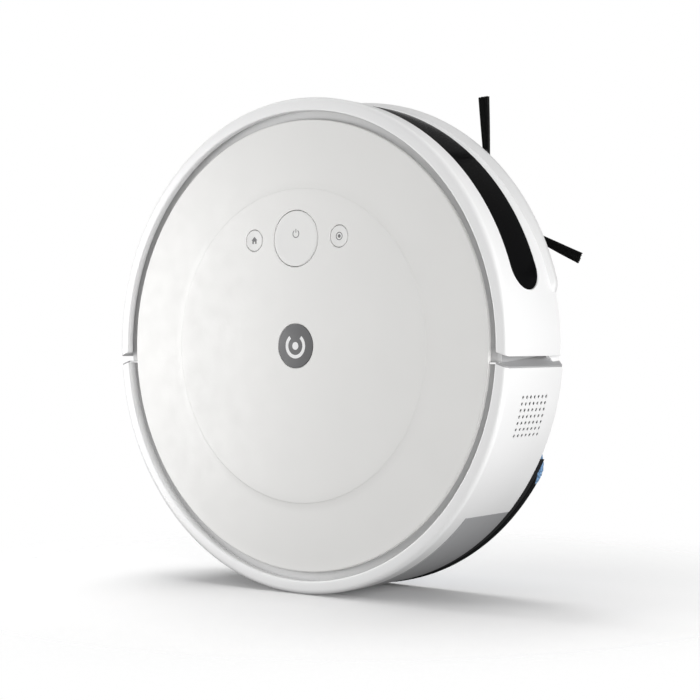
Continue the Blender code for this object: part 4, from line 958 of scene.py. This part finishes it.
def make_underbody():
    bottom, top = CHASSIS_LOW.z, CHASSIS_LOW.z + 2.5 * MM
    rim, wall_out, wall_in, wall_top = (CHASSIS_HIGH.x - CHASSIS_LOW.x) / 2, 159.6 * MM, 157.6 * MM, 24 * MM
    groove, groove_top = (136.4 * MM, 136.7 * MM, 137.3 * MM, 137.6 * MM), bottom + 0.5 * MM
    corners = [(groove[0], bottom, 0), (groove[1], groove_top, 0), (groove[2], groove_top, 0)]
    corners += [(groove[3], bottom, 0), (rim, bottom, 0.9 * MM), (rim, top, 0), (wall_out, top, 0)]
    corners += [(wall_out, wall_top, 0.4 * MM), (wall_in, wall_top, 0.4 * MM), (wall_in, top, 0)]
    floor = turned_solid("underbody", corners, STEPS, steps=3)
    cutters = [tile("well", well_sides(side), 4 * MM, BELOW, ABOVE) for side, _ in SIDES]
    cutters.append(tile("brush_mouth", BRUSH_MOUTH, 2 * MM, BELOW, ABOVE))
    cutters.append(tile("battery_mouth", BATTERY_MOUTH, 2.4 * MM, BELOW, 14.5 * MM))
    cutters.append(drum("caster_hole", 21.5 * MM, (*CASTER_AT, BELOW), (*CASTER_AT, ABOVE), 96))
    cutters.append(drum("brush_hole", 6 * MM, (*SIDE_BRUSH_AT, BELOW), (*SIDE_BRUSH_AT, ABOVE), 48))
    for angle in CLIFF_ANGLES:
        cutters.append(slab("cliff_hole", cliff_outline(angle, 0.6 * MM, 2.3 * MM), BELOW, 20 * MM))
    for side, _ in SIDES:
        sides = centred(side * CONTACT_AT[0], CONTACT_AT[1], 9.3 * MM, 3.8 * MM)
        cutters.append(tile("contact_hole", sides, 1.5 * MM, BELOW, 20 * MM))
        x, y = side * FRONT_SCREW_AT[0], FRONT_SCREW_AT[1]
        cutters.append(drum("screw_hole", 3.3 * MM, (x, y, BELOW), (x, y, 20 * MM), 32))
    reach = BIN_OPENING + 0.6 * MM
    cutters.append(block("bin_room", (-reach, BIN_FRONT - 1.5 * MM, BELOW), (reach, PAST_REAR, 50 * MM)))
    carve(floor, *cutters)
    dress(floor, CHARCOAL, "root", "chassis")
    make_underbody_lips(bottom)
    make_posts(top)


def collar(name, at, outer, inner, low, high, edge, steps):
    """A raised ring on the underside."""
    corners = [(outer, low, edge), (outer, high, edge), (inner, high, edge), (inner, low, edge)]
    dress(turned(name, rounded(corners), steps, at), CHARCOAL, "root")


def make_underbody_lips(bottom):
    """Lips round the openings, vent ribs, and screws in their seats."""
    low, high = bottom - 1.1 * MM, bottom + 0.3 * MM
    for side, name in SIDES:
        well = rectangle(*well_sides(side), 4 * MM)
        lip = slab(f"well_lip_{name}", inset(well, -1.8 * MM), low, high, 0.4 * MM)
        carve(lip, slab("inside", inset(well, -0.1 * MM), low - 5 * MM, high + 5 * MM))
        carve(lip, block("guard_room", (-90 * MM, 20 * MM, BELOW), (90 * MM, 74 * MM, ABOVE)))
        dress(lip, CHARCOAL, "root")
    collar("caster_collar", CASTER_AT, 23.6 * MM, 21.6 * MM, low, high, 0.4 * MM, 120)
    collar("side_brush_collar", SIDE_BRUSH_AT, 16.4 * MM, 14.4 * MM, low, high, 0.4 * MM, 96)
    ribs = bmesh.new()
    for i in range(9):
        sides = centred((i - 4) * 9 * MM, -20 * MM, 2.9 * MM, 14 * MM)
        rib = tile("rib", sides, 2.8 * MM, bottom - 0.7 * MM, bottom + 0.3 * MM, 0.3 * MM)
        ribs.from_mesh(rib.data)
        bpy.data.objects.remove(rib)
    dress(new_object("vent_ribs", ribs), DARK_GREY, "root")
    for i, at in enumerate(FLOOR_SCREWS, start=1):
        ends = bottom - 0.5 * MM, bottom + 0.2 * MM
        collar(f"screw_seat_{i}", at, 4.6 * MM, 2.8 * MM, *ends, 0.2 * MM, 48)
        make_screw(f"floor_screw_{i}", at, bottom - 0.35 * MM, "root", (2.6, 0.5, 1.6, 1.5, 0.35, 0.8))


def make_posts(floor_top):
    """The posts and pins that carry the wheel arms."""
    y, z = ARM_PIVOT
    for side, name in SIDES:
        sides = *sorted((side * 75 * MM, side * 81.5 * MM)), y - 7 * MM, y + 7 * MM
        post = tile(f"arm_post_{name}", sides, 1.5 * MM, floor_top - 0.2 * MM, z + 7 * MM, 1 * MM)
        start, end = sorted((side * 80 * MM, side * 98 * MM))
        carve(post, drum("pin", 3 * MM, (start, y, z), (end, y, z), 32, 0.5 * MM), operation="UNION")
        dress(post, CHARCOAL, "root")


def make_floor_parts():
    """Battery door and cliff windows."""
    low, high, _ = cad("battery_door")
    door = tile("battery_hatch", (low.x, high.x, low.y, high.y), 2 * MM, low.z, high.z, 0.4 * MM)
    latch = (-11 * MM, 11 * MM, low.y + 3 * MM, low.y + 10 * MM)
    carve(door, tile("latch", latch, 3.2 * MM, low.z - 1 * MM, low.z + 0.9 * MM))
    for i in range(7):
        y = high.y - 8 * MM - i * 3.4 * MM
        line = (low.x + 14 * MM, high.x - 14 * MM, y - 0.6 * MM, y + 0.6 * MM)
        carve(door, tile("line", line, 0.55 * MM, low.z - 1 * MM, low.z + 0.5 * MM, steps=3))
    dress(door, CHARCOAL, "root", "battery_door")
    for i, angle in enumerate(CLIFF_ANGLES, start=1):
        low, high, _ = cad(f"cliff_window_{i}")
        lens = slab(f"cliff_lens_{i}", cliff_outline(angle, 0, 2 * MM), low.z, high.z, 0.4 * MM)
        dress(lens, WINDOW_BLACK, "root", f"cliff_window_{i}")


def make_tyre(name, x_in, x_out, at, radius):
    """A tyre with slanted lugs: the groove's place round the tyre shifts towards its middle."""
    lugs, per_lug, across = 34, 8, 9
    bore, deep, shoulder = 27.3 * MM, 1.6 * MM, 1.6 * MM
    slant, groove_share, shoulder_share, margin = 1.1, 0.3, 0.12, 0.03
    outward = 1 if x_out > x_in else -1
    width = abs(x_out - x_in)
    wall = radius - deep - shoulder
    sections = []
    for i in range(lugs * per_lug):
        angle = math.tau * i / (lugs * per_lug)
        profile = [(bore, 0), (wall, 0)]
        for share in evenly(0, 1, across):
            lug = (i / per_lug + abs(share - 0.5) * slant) % 1
            groove = deep if lug < groove_share else 0
            fall = shoulder * max(0, 1 - min(share, 1 - share) / shoulder_share) ** 2
            profile.append((radius - groove - fall, width * (margin + (1 - 2 * margin) * share)))
        profile += [(wall, width), (bore, width)]
        sections.append([(x_in + outward * along, *polar(r, angle, at=at)) for r, along in profile])
    return lofted(name, sections, wrap=True)


def make_wheels():
    for side, name in SIDES:
        low, high, middle = cad(f"{name}_tyre")
        at = (middle.y, middle.z)
        inner, outer = sorted((low.x, high.x), key=abs)
        tyre = make_tyre(f"{name}_tread", inner, outer, at, (high.z - low.z) / 2)
        dress(tyre, TYRE, f"{name}_wheel", f"{name}_tyre")
        make_hub(side, name, at)


def make_hub(side, name, at):
    """A dished hub with five openings and a cap over the axle."""
    low, high, _ = cad(f"{name}_wheel_hub")
    near, far = sorted((abs(low.x), abs(high.x)))
    rim, disc, shaft, edge = 27 * MM, 100 * MM, 4 * MM, 0.8 * MM
    corners = [(AXIS_GAP, near, 0), (shaft, near, 0.4 * MM), (shaft, disc, 0), (rim, disc, 0.5 * MM)]
    corners += [(rim, far, 0.6 * MM), (rim - 2.6 * MM, far, 0.6 * MM), (rim - 4 * MM, far - 6 * MM, edge)]
    corners += [(9 * MM, far - 4 * MM, edge), (7.4 * MM, far - 1.2 * MM, 1 * MM)]
    corners.append((AXIS_GAP, far - 1 * MM, 0))
    hub = turned(f"{name}_hub", [(r, side * x) for r, x in rounded(corners, 4)], 144, at, "X")
    x0, x1 = sorted((side * (far + 2 * MM), side * (far - 9 * MM)))
    openings, opening_ring, opening_radius = 5, 16 * MM, 4.4 * MM
    for k in range(openings):
        spot = polar(opening_ring, math.tau * k / openings, at=at)
        carve(hub, drum("hub_hole", opening_radius, (x0, *spot), (x1, *spot), 40))
    dress(hub, DARK_GREY, f"{name}_wheel", f"{name}_wheel_hub")


def make_caster():
    low, high, middle = cad("caster_wheel")
    at = (middle.y, middle.z)
    radius, half = (high.z - low.z) / 2, (high.x - low.x) / 2
    bore, shoulder = 1.9 * MM, radius - 0.5 * MM
    crown = [(bore, -half, 0.3 * MM), (shoulder, -half, 1.8 * MM), (radius, 0, 9 * MM)]
    crown += [(shoulder, half, 1.8 * MM), (bore, half, 0.3 * MM)]
    wheel = turned("caster_roller", rounded(crown, 6), 96, at, "X")
    mouth, floor = radius + 1 * MM, radius - 0.6 * MM
    groove = [(mouth, -0.5 * MM), (mouth, 0.5 * MM), (floor, 0.3 * MM), (floor, -0.3 * MM)]
    carve(wheel, turned("groove", groove, 96, at, "X"))
    dress(wheel, SOFT_RUBBER, "caster_wheel", "caster_wheel")
    shape = mm((4, 37, 0.5), (4, 28, 0.4), (20, 28, 0.8), (20, 11, 2.2), (17.5, 8, 1.2))
    fork = turned_solid("caster_yoke", shape, 128, CASTER_AT)
    reach = radius + 1.2 * MM
    carve(fork, tile("slot", centred(0, at[0], half + 1 * MM, reach), 1.5 * MM, 0, radius + reach))
    carve(fork, drum("axle_room", bore, (-25 * MM, *at), (25 * MM, *at), 24))
    dress(fork, CHARCOAL, "caster_fork", "caster_fork")


# ---------------------------------------------------------------- brushes


def make_main_brush():
    """A core with rubber blades and bristle rows by turns, each laid in a wide V."""
    low, high, middle = cad("main_brush")
    at = (middle.y, middle.z)
    outer, core, half, shaft = 17.3 * MM, 9 * MM, 74 * MM, 3 * MM
    fins, sweep, blade_steps, tuft_gaps, tuft_strands = 6, math.radians(55), 48, 45, 7
    corners = [(shaft, low.x, 0.4 * MM), (shaft, -half, 0), (core, -half, 0.6 * MM)]
    corners += [(core, half, 0.6 * MM), (shaft, half, 0), (shaft, high.x, 0.4 * MM)]
    dress(turned_solid("brush_core", corners, 72, at, "X"), DARK_GREY, "main_brush", "main_brush")

    def fin_angle(fin, x):
        return math.tau * fin / fins + abs(x) / half * sweep

    foot, tip, tip_start = 1.1 * MM, 0.55 * MM, outer - 0.6 * MM
    one_side = [(core - 0.6 * MM, foot), (tip_start, tip), (outer, tip * 0.5)]
    outline = [(r, -wide) for r, wide in one_side] + one_side[::-1]
    blades = []
    for fin in range(0, fins, 2):
        sections = []
        for x in evenly(1 * MM - half, half - 1 * MM, blade_steps):
            turn = Matrix.Rotation(fin_angle(fin, x), 2)
            sections.append([(x, *(turn @ Vector(point) + Vector(at))) for point in outline])
        blades.append(sections)
    dress(lofted("brush_blades", *blades), SOFT_RUBBER, "main_brush")
    tufts = bmesh.new()
    draw = random.Random(4)
    for fin in range(1, fins, 2):
        for x in evenly(2.4 * MM - half, half - 2.4 * MM, tuft_gaps):
            angle = fin_angle(fin, x)
            for _ in range(tuft_strands):
                lean = angle + draw.uniform(-0.05, 0.05)
                aside = draw.uniform(-1.3, 1.3) * MM
                root = Vector((x + aside * 0.5, *polar(core * 0.96, angle, at=at)))
                end = Vector((x + aside, *polar(outer, lean, at=at)))
                tube(tufts, [root, root.lerp(end, 0.6), end], 0.24 * MM, sides=3, taper=0.7)
    dress(new_object("brush_bristles", tufts), BRUSH_HAIR, "main_brush")


def make_side_brush():
    """A hub with three soft stalks, each holding a broad, square-ended tuft of strands."""
    low, high, _ = cad("side_brush")
    foot, crest, shaft = low.z, low.z + 5.2 * MM, 4 * MM
    corners = [(10.4 * MM, foot, 1.2 * MM), (13 * MM, foot + 2 * MM, 1 * MM), (12.2 * MM, crest, 0.8 * MM)]
    corners += [(shaft, crest, 0.2 * MM), (shaft, high.z, 0.5 * MM)]
    hub = turned_solid("side_brush_hub", corners, 96, SIDE_BRUSH_AT)
    dress(hub, CHARCOAL, "side_brush", "side_brush")
    draw = random.Random(11)
    strands = bmesh.new()
    middle_z, stalk_start, stalk_end = foot + 2.6 * MM, 8 * MM, 43 * MM
    strand_start, strand_count, first_arm = stalk_end - 4 * MM, 230, math.radians(272.9)
    arms = (0, 79.4 * MM), (0, 77.4 * MM), (math.radians(1.6), 77.4 * MM)
    for arm, (bent, reach) in enumerate(arms):
        angle = first_arm + math.tau * arm / 3 + bent
        ahead, across = Vector(polar(1, angle)), Vector(polar(1, angle + math.pi / 2))

        def place(along, aside, z):
            return Vector((*(Vector(SIDE_BRUSH_AT) + ahead * along + across * aside), z))

        sections = []
        for share in evenly(0, 1, 12):
            along = stalk_start + (stalk_end - stalk_start) * share
            wide, thick = 3.0 * MM - 0.75 * MM * share, 1.7 * MM - 0.4 * MM * share
            sections.append([place(along, a * wide, middle_z + b * thick) for a, b in circle(1, 16)])
        stalk = lofted(f"side_brush_stalk_{arm + 1}", sections)
        dress(stalk, SOFT_RUBBER, "side_brush")
        for _ in range(strand_count):
            spread, level = draw.uniform(-1, 1), draw.uniform(-1, 1)
            length = reach - draw.uniform(0, 0.7) * MM
            bend = draw.uniform(-0.35, 0.35) * MM
            path = []
            for share in evenly(0, 1, 5):
                along = strand_start + (length - strand_start) * share
                aside = spread * (2.1 * MM + 1.5 * MM * share) + bend * math.sin(math.pi * share)
                path.append(place(along, aside, middle_z + level * (0.9 + 0.5 * share) * MM))
            tube(strands, path, 0.26 * MM, sides=3, taper=0.75)
    dress(new_object("side_brush_strands", strands), BRISTLES, "side_brush")
    sizes = (3, 0.4, 1.5, 1.8, 0.4, 0.9)
    make_screw("side_brush_screw", SIDE_BRUSH_AT, foot - 0.5 * MM, "side_brush", sizes)


def make_brush_guard():
    low, high, _ = cad("brush_guard")
    guard = tile("brush_cage", (low.x, high.x, low.y, high.y), 3 * MM, low.z, high.z, 0.6 * MM)
    carve(guard, tile("cage_window", centred(0, 48 * MM, 76 * MM, 18.5 * MM), 3 * MM, BELOW, ABOVE))
    carve(guard, block("gear_room", (-90 * MM, 34 * MM, low.z + 0.7 * MM), (-78 * MM, 62 * MM, 20 * MM)))
    dress(guard, MID_GREY, "brush_guard", "brush_guard")


# ---------------------------------------------------------------- dust bin


def bin_plan(pull, left, right, radius):
    """Plan of the bin or of a room in it: straight front and sides, round back, rounded corners."""
    rim, front = radius - pull, BIN_FRONT + pull
    low, high = left + pull, right - pull
    arc = [polar(rim, a) for a in evenly(math.acos(high / rim), math.acos(low / rim), 72)]
    return rounded([(low, front, 2 * MM), (high, front, 2 * MM), (0, PAST_REAR, 0)], 5)[:-1] + arc


def make_bin():
    low, high, _ = cad("dust_bin")
    half, radius, wall, tank_edge = (high.x - low.x) / 2, high.y, 2 * MM, -60 * MM
    body = slab("bin_shell", bin_plan(0, -half, half, radius), low.z, high.z, 0.5 * MM)
    for left, right in ((tank_edge, half), (-half, tank_edge)):
        carve(body, slab("room", bin_plan(wall, left, right, radius), low.z + wall, 100 * MM))
    before, behind = BIN_FRONT - 5 * MM, BIN_FRONT + 5 * MM
    inlet = block("inlet", (-45 * MM, before, 22 * MM), (45 * MM, behind, 42 * MM))
    carve(body, inlet, block("air_way", (-26 * MM, before, 48 * MM), (42 * MM, behind, 60 * MM)))
    backing = block("backing", *mm((-24, 160, 36), (24, 168.2, 60)))
    carve(body, backing, operation="UNION")
    pocket = tile("pocket", centred(0, 48 * MM, 20.4 * MM, 8.4 * MM), 3.4 * MM, -190 * MM, -163.5 * MM)
    pocket.data.transform(Matrix.Rotation(math.pi / 2, 4, "X"))
    carve(body, pocket)
    dress(body, SMOKED, "bin", "dust_bin")
    make_bin_button(radius)
    low, high, _ = cad("bin_lid")
    lid = slab("bin_cover", bin_plan(0.2 * MM, -half, half, radius), low.z, high.z, 0.4 * MM)
    filler = (-95 * MM, 105 * MM)
    carve(lid, drum("filler", 8 * MM, (*filler, 50 * MM), (*filler, 80 * MM), 48))
    dress(lid, SMOKED, "bin", "bin_lid")
    low, high, _ = cad("tank_plug")
    top, stem, flange, dish = high.z, 6.8 * MM, 7.6 * MM, high.z - 0.5 * MM
    corners = [(5 * MM, dish, 0.4 * MM), (5.6 * MM, top, 0.4 * MM), (flange, top, 0.5 * MM)]
    corners += [(flange, top - 2 * MM, 0.3 * MM), (stem, top - 3 * MM, 0.3 * MM), (stem, low.z, 0.8 * MM)]
    dress(turned_solid("filler_plug", corners, 72, filler), SOFT_RUBBER, "bin", "tank_plug")
    make_filter()


def make_bin_button(radius):
    """The release button: a plate bent to the wall, with three grip ridges."""
    low, high, middle = cad("bin_button")
    half, corner, columns, levels = (high.x - low.x) / 2, 1.6 * MM, 40, 28
    face, edge, back_radius = radius - 0.45 * MM, 0.4 * MM, 168.6 * MM
    ridge_height, ridge_pitch, grip_x, grip_z = 0.35 * MM, 3.2 * MM, 12 * MM, 4.8 * MM
    sections = []
    for x in evenly(-half, half, columns):
        pull = corner * max(0, 1 - (half - abs(x)) / corner) ** 2
        back = math.sqrt(back_radius**2 - x**2)
        section = [(x, back, low.z + pull), (x, back, high.z - pull)]
        for k, z in enumerate(evenly(high.z - pull, low.z + pull, levels)):
            ridge = ridge_height * max(0, math.cos((z - middle.z) / ridge_pitch * math.tau)) ** 3
            inside = abs(z - middle.z) < grip_z and abs(x) < grip_x
            reach = face - (edge if k in (0, levels) else 0) + (ridge if inside else 0)
            section.append((x, math.sqrt(reach**2 - x**2), z))
        sections.append(section)
    dress(lofted("bin_release", sections), MID_GREY, "bin_button", "bin_button")


def make_filter():
    """Pleated paper in a frame."""
    low, high, _ = cad("filter")
    rim, pleats = 2 * MM, 26
    filter_frame = block("filter_frame", low, high, 0.5 * MM)
    hole = (low.x + rim, low.y - 1 * MM, low.z + rim), (high.x - rim, high.y + 1 * MM, high.z - rim)
    carve(filter_frame, block("filter_hole", *hole))
    dress(filter_frame, ACETAL, "bin", "filter")
    near, far, tuck = low.y + 1.2 * MM, high.y - 2 * MM, rim - 0.3 * MM
    folds = evenly(low.x + tuck, high.x - tuck, pleats * 2)
    front = [(x, near if i % 2 else far) for i, x in enumerate(folds)]
    outline = front + [(x, y + 0.6 * MM) for x, y in front[::-1]]
    sections = [[(x, y, z) for x, y in outline] for z in (low.z + tuck, high.z - tuck)]
    dress(lofted("filter_pleats", sections), FILTER_PAPER, "bin")


# ---------------------------------------------------------------- mop

TAB_START, TAB_END, TAB_INSIDE = 72 * MM, 98 * MM, 150 * MM
TAB_RIMS = mm((72, 164.6), (75, 166.2), (79, 168.4), (84, 170.6), (88, 171.3), (92, 171.2), (96, 169.6))
HEM_RADIUS = 170.6 * MM


def rear_arc(radius, front, steps):
    """An arc round the rear that starts and ends at a distance behind the side axis."""
    start = math.asin(front / radius)
    return [polar(radius, a) for a in evenly(start, math.pi - start, steps)]


def cloth_plan(front, radius):
    """Plan of the cloth: each end swells past the carrier as a tab to pull it off by."""
    inner = math.sqrt(TAB_INSIDE**2 - TAB_START**2)
    one_side = [(inner - 4 * MM, front), (inner, TAB_START)]
    one_side += [at_side(1, radius, y, 0)[:2] for y, radius in TAB_RIMS]
    return one_side + rear_arc(radius, TAB_END, 150) + [(-x, y) for x, y in one_side[::-1]]


def make_hem():
    """The cloth's black hem, from tab to tab round the back, narrowing at its ends."""
    start = math.asin((TAB_START + 5 * MM) / HEM_RADIUS)
    inner, bottom, top, edge = 164 * MM, 0.25 * MM, 4.25 * MM, 0.8 * MM
    rear, deepest, end_share = CAD_BOX[1].y - 0.1 * MM, 6.2 * MM, 1 / 19
    sections = []
    for share in evenly(0, 1, 160):
        angle = start + (math.pi - 2 * start) * share
        from_end = min(1.0, min(share, 1 - share) / end_share)
        draw_in = deepest * (1 - math.sin(math.pi / 2 * from_end))
        outer = min(HEM_RADIUS - draw_in, rear / math.sin(angle))
        corners = [(outer, bottom, edge), (outer, top, edge), (inner, top, 0), (inner, bottom, 0)]
        sections.append([polar(r, angle, z) for r, z in rounded(corners, 3)])
    hem = dress(lofted("mop_hem", sections), HEM_BLACK_AND_HOLE_SHADE, "mop_plate")


def make_mop():
    low, high, _ = cad("mop_plate")
    plate = slab("mop_carrier", rear_arc(high.y, low.y, 96), low.z, high.z, 0.9 * MM, 4)
    dress(plate, MOP_BLACK, "mop_plate", "mop_plate")
    low, high, _ = cad("mop_pad")
    outline = cloth_plan(low.y + 0.6 * MM, high.y - 0.6 * MM)
    pad = slab("mop_cloth", outline, low.z + 0.1 * MM, high.z - 0.1 * MM, 1.4 * MM, 4)
    remesh = pad.modifiers.new("even", "REMESH")
    remesh.mode = "VOXEL"
    remesh.voxel_size = 1.3 * MM
    bake(pad)
    draw = random.Random(7)
    lift, upright_share = 0.2 * MM, 0.5
    bm = bmesh.new()
    bm.from_mesh(pad.data)
    bm.normal_update()
    moves = [vertex.normal * draw.uniform(-1, 1) * lift for vertex in bm.verts]
    for vertex, move in zip(bm.verts, moves):
        vertex.co += Vector((move.x, move.y, move.z * upright_share))
        vertex.co.z = min(max(vertex.co.z, low.z + 0.05 * MM), high.z)
    bm.to_mesh(pad.data)
    bm.free()
    dress(pad, CLOTH, "mop_plate", "mop_pad")
    smooth(pad, 180)
    make_hem()


# ---------------------------------------------------------------- what is carried over from the frame

CARRIED = (
    (DARK_GREY, "battery blower_housing caster_socket side_brush_motor"),
    (STEEL, "blower_motor brush_motor caster_axle chassis_screw_1 chassis_screw_2"),
    (STEEL, "left_wheel_motor right_wheel_motor"),
    (ACETAL, "brush_bearing brush_gear idler_gear brush_pinion impeller"),
    (CHARCOAL, "brush_housing speaker left_wheel_arm right_wheel_arm"),
    (CHARCOAL, "bumper_switch_left bumper_switch_right"),
    (CONTACT, "charge_contact_left charge_contact_right"),
    (BOARD, "main_board"),
)


def dress_carried_nodes():
    for look, names in CARRIED:
        for name in names.split():
            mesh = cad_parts[name].data
            mesh.materials.clear()
            mesh.materials.append(look)


# ---------------------------------------------------------------- floor, lights and camera

FLOOR_Y = CAD_BOX[1].y + 0.2 * MM
LENS = 83.8
CAMERA_LIFT = math.radians(52.58)
CAMERA_YAW = math.radians(0.14)
CAMERA_ROLL = math.radians(-0.2)
CAMERA_AT = (AXIS_X - 708 * MM, 0.2 * MM, 945 * MM)
WORLD_LIGHT = 0.12


def make_floor():
    """The robot stands on its rear edge, so the floor lies square to its length, behind it."""
    bm = bmesh.new()
    reach = 4.0
    corners = ((-reach, -reach), (reach, -reach), (reach, reach), (-reach, reach))
    bm.faces.new([bm.verts.new((x, FLOOR_Y, z)) for x, z in corners])
    floor = new_object("studio_floor", bm)
    if floor.data.polygons[0].normal.y > 0:
        floor.data.flip_normals()
    floor.data.materials.append(backdrop("floor_paint", 0.95, near=0.2, far=0.42))
    floor.visible_shadow = False
    floor.visible_diffuse = False
    floor.visible_glossy = False


def softbox(name, at, towards, size, power, mirrored=True):
    """A soft square light. One that isn't mirrored leaves no reflection in the glossy window."""
    data = bpy.data.lights.new(name, "AREA")
    data.shape = "RECTANGLE"
    data.size = data.size_y = size
    data.energy = power
    light = bpy.data.objects.new(name, data)
    light.location = at
    light.rotation_euler = (Vector(towards) - Vector(at)).to_track_quat("-Z", "Y").to_euler()
    light.visible_camera = False
    light.visible_glossy = mirrored
    bpy.context.scene.collection.objects.link(light)


def make_lights():
    plate = (AXIS_X, 0, RING_TOP)
    rear_edge = (0, FLOOR_Y, 0)
    softbox("key", (0.75, 0.0, 0.55), plate, 0.5, 5.4)
    softbox("front_left", (0.45, -0.45, 0.5), plate, 0.5, 0.8)
    softbox("camera_side", (-0.8, 0.1, 0.8), plate, 0.6, 5.1)
    softbox("overhead", (0.5, -1.2, -0.1), rear_edge, 0.8, 11.3, mirrored=False)
    softbox("from_behind", (0.0, -0.9, -0.7), rear_edge, 1.0, 3.2, mirrored=False)
    softbox("side_fill", (-0.95, -0.05, 0.1), (-RADIUS, 0, 0.04), 0.6, 5.9)


def make_world():
    """White to the eye, and dimmer as a light, so that the white shells keep their shading."""
    world = bpy.data.worlds.new("studio")
    world.use_nodes = True
    tree = world.node_tree
    glow = tree.nodes["Background"]
    glow.inputs["Color"].default_value = (1, 1, 1, 1)
    path = tree.nodes.new("ShaderNodeLightPath")
    strength = tree.nodes.new("ShaderNodeMapRange")
    tree.links.new(path.outputs["Is Camera Ray"], strength.inputs["Value"])
    strength.inputs["To Min"].default_value = WORLD_LIGHT
    strength.inputs["To Max"].default_value = 1.0
    tree.links.new(strength.outputs["Result"], glow.inputs["Strength"])
    bpy.context.scene.world = world


def make_camera():
    """Above the robot's right side, with the robot's front towards the top of the picture."""
    data = bpy.data.cameras.new("camera")
    data.lens = LENS
    camera = bpy.data.objects.new("camera", data)
    bpy.context.scene.collection.objects.link(camera)
    ahead = Vector((math.cos(CAMERA_LIFT), math.sin(CAMERA_YAW), -math.sin(CAMERA_LIFT))).normalized()
    right = ahead.cross(Vector((0, -1, 0))).normalized()
    turn = Matrix((right, right.cross(ahead), -ahead)).transposed() @ Matrix.Rotation(CAMERA_ROLL, 3, "Z")
    camera.matrix_world = Matrix.Translation(CAMERA_AT) @ turn.to_4x4()
    bpy.context.scene.camera = camera
    bpy.context.scene.view_settings.view_transform = "Standard"


make_bumper()
make_rear_shell()
make_top_plate()
make_buttons()
make_emblem()
make_inner_frame()
make_springs()
make_underbody()
make_floor_parts()
make_wheels()
make_caster()
make_main_brush()
make_side_brush()
make_brush_guard()
make_bin()
make_mop()
dress_carried_nodes()
make_floor()
make_lights()
make_world()
make_camera()
